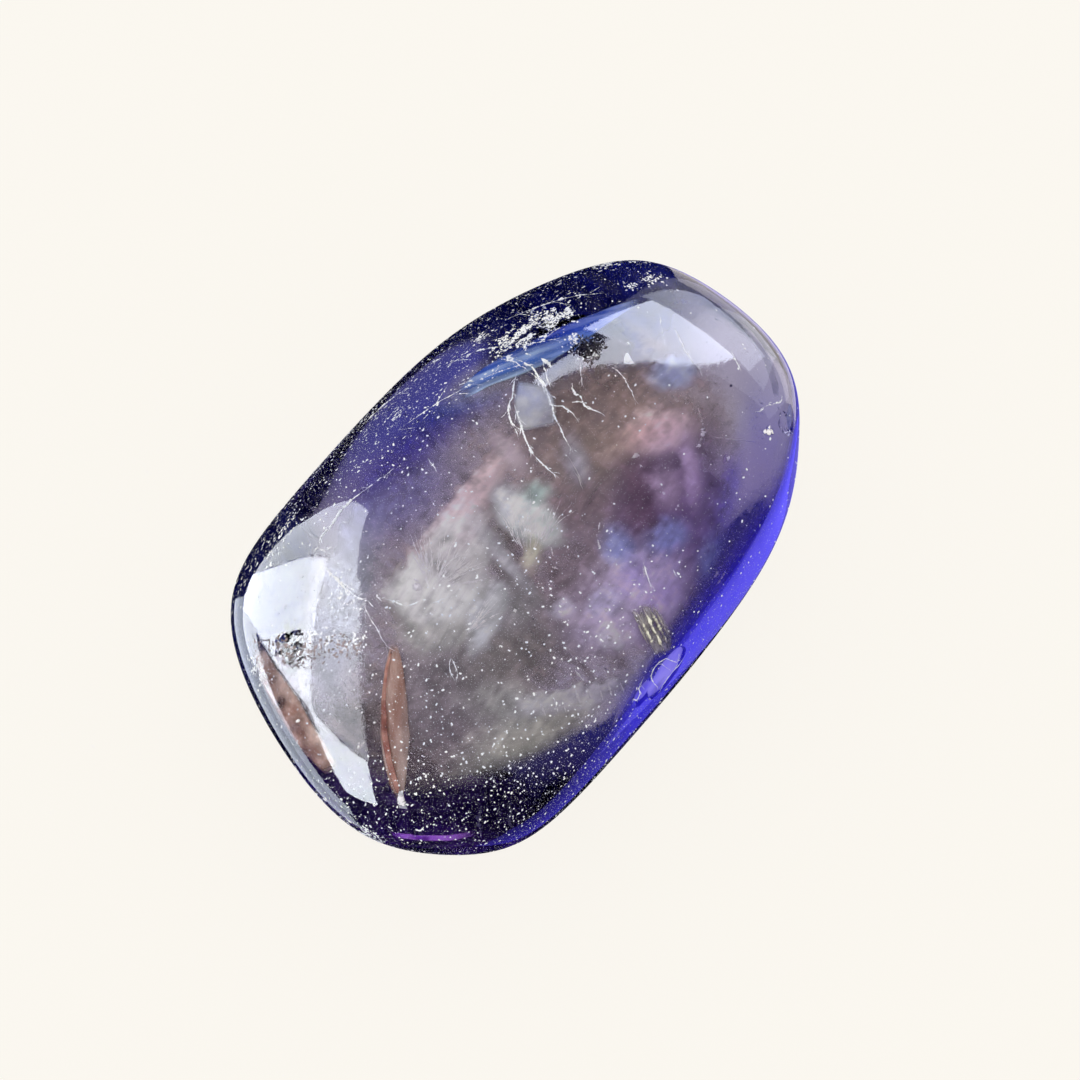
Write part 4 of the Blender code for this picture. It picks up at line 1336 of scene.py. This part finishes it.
def softStudio():
    bm = bmesh.new()
    bmesh.ops.create_grid(bm, x_segments=4, y_segments=4, size=studio["floorReach"])
    bmesh.ops.translate(bm, vec=(0.0, 0.0, -studio["floorDrop"]), verts=bm.verts)
    floor = addObject("floor", meshFrom("floor", bm))
    paint = bpy.data.materials.new("paleFloor")
    tree = nodeTree(paint)
    out = addNode(tree, "ShaderNodeOutputMaterial", (300, 0))
    matt = addNode(tree, "ShaderNodeBsdfPrincipled", (0, 0))
    share = 1.0 - studio["floorGlow"]
    matt.inputs["Base Color"].default_value = (*[c * share for c in studio["floorColour"]], 1.0)
    matt.inputs["Emission Color"].default_value = (*studio["floorColour"], 1.0)
    matt.inputs["Emission Strength"].default_value = studio["floorGlow"]
    matt.inputs["Roughness"].default_value = 1.0
    matt.inputs["Specular IOR Level"].default_value = 0.0
    link(tree, matt.outputs["BSDF"], out.inputs["Surface"])
    floor.data.materials.append(paint)
    floor.visible_glossy = False
    world = bpy.data.worlds.new("paleRoom")
    world.use_nodes = True
    sky = world.node_tree.nodes["Background"]
    sky.inputs["Color"].default_value = (*studio["skyColour"], 1.0)
    sky.inputs["Strength"].default_value = studio["skyStrength"]
    world.cycles_visibility.glossy = False
    bpy.context.scene.world = world
    centre = Vector(studio["lampsAround"])
    for name, (bearing, lean, away, colour, panes) in studio["windows"].items():
        out = Vector(heading(bearing, lean))
        side = Vector((0, 0, 1)).cross(out).normalized()
        rise = out.cross(side)
        facing = Matrix((side, rise, out)).transposed()
        for across, up, width, height, roll, strength in panes:
            lamp = bpy.data.lights.new(name, "AREA")
            lamp.shape = "RECTANGLE"
            lamp.size, lamp.size_y = width, height
            lamp.color = colour
            lamp.energy = strength * math.pi * width * height  # watts that give this radiance
            pane = bpy.data.objects.new(name, lamp)
            place = Matrix.Translation(centre + out * away + side * across + rise * up)
            pane.matrix_world = place @ facing.to_4x4() @ Matrix.Rotation(math.radians(roll), 4, "Z")
            pane.visible_diffuse = False
            pane.visible_transmission = False
            pane.visible_camera = False
            bpy.context.scene.collection.objects.link(pane)
    bpy.context.scene.view_settings.view_transform = "Standard"


def addCamera():
    lens = bpy.data.cameras.new("photoView")
    lens.lens = view["lens"]
    lens.sensor_width = view["film"]
    lens.clip_start = view["nearest"]
    camera = bpy.data.objects.new("photoView", lens)
    camera.location = eye
    camera.rotation_euler = (-viewBack).to_track_quat("-Z", "Y").to_euler()
    bpy.context.scene.collection.objects.link(camera)
    bpy.context.scene.camera = camera


softStudio()
addCamera()
print("studio lit")
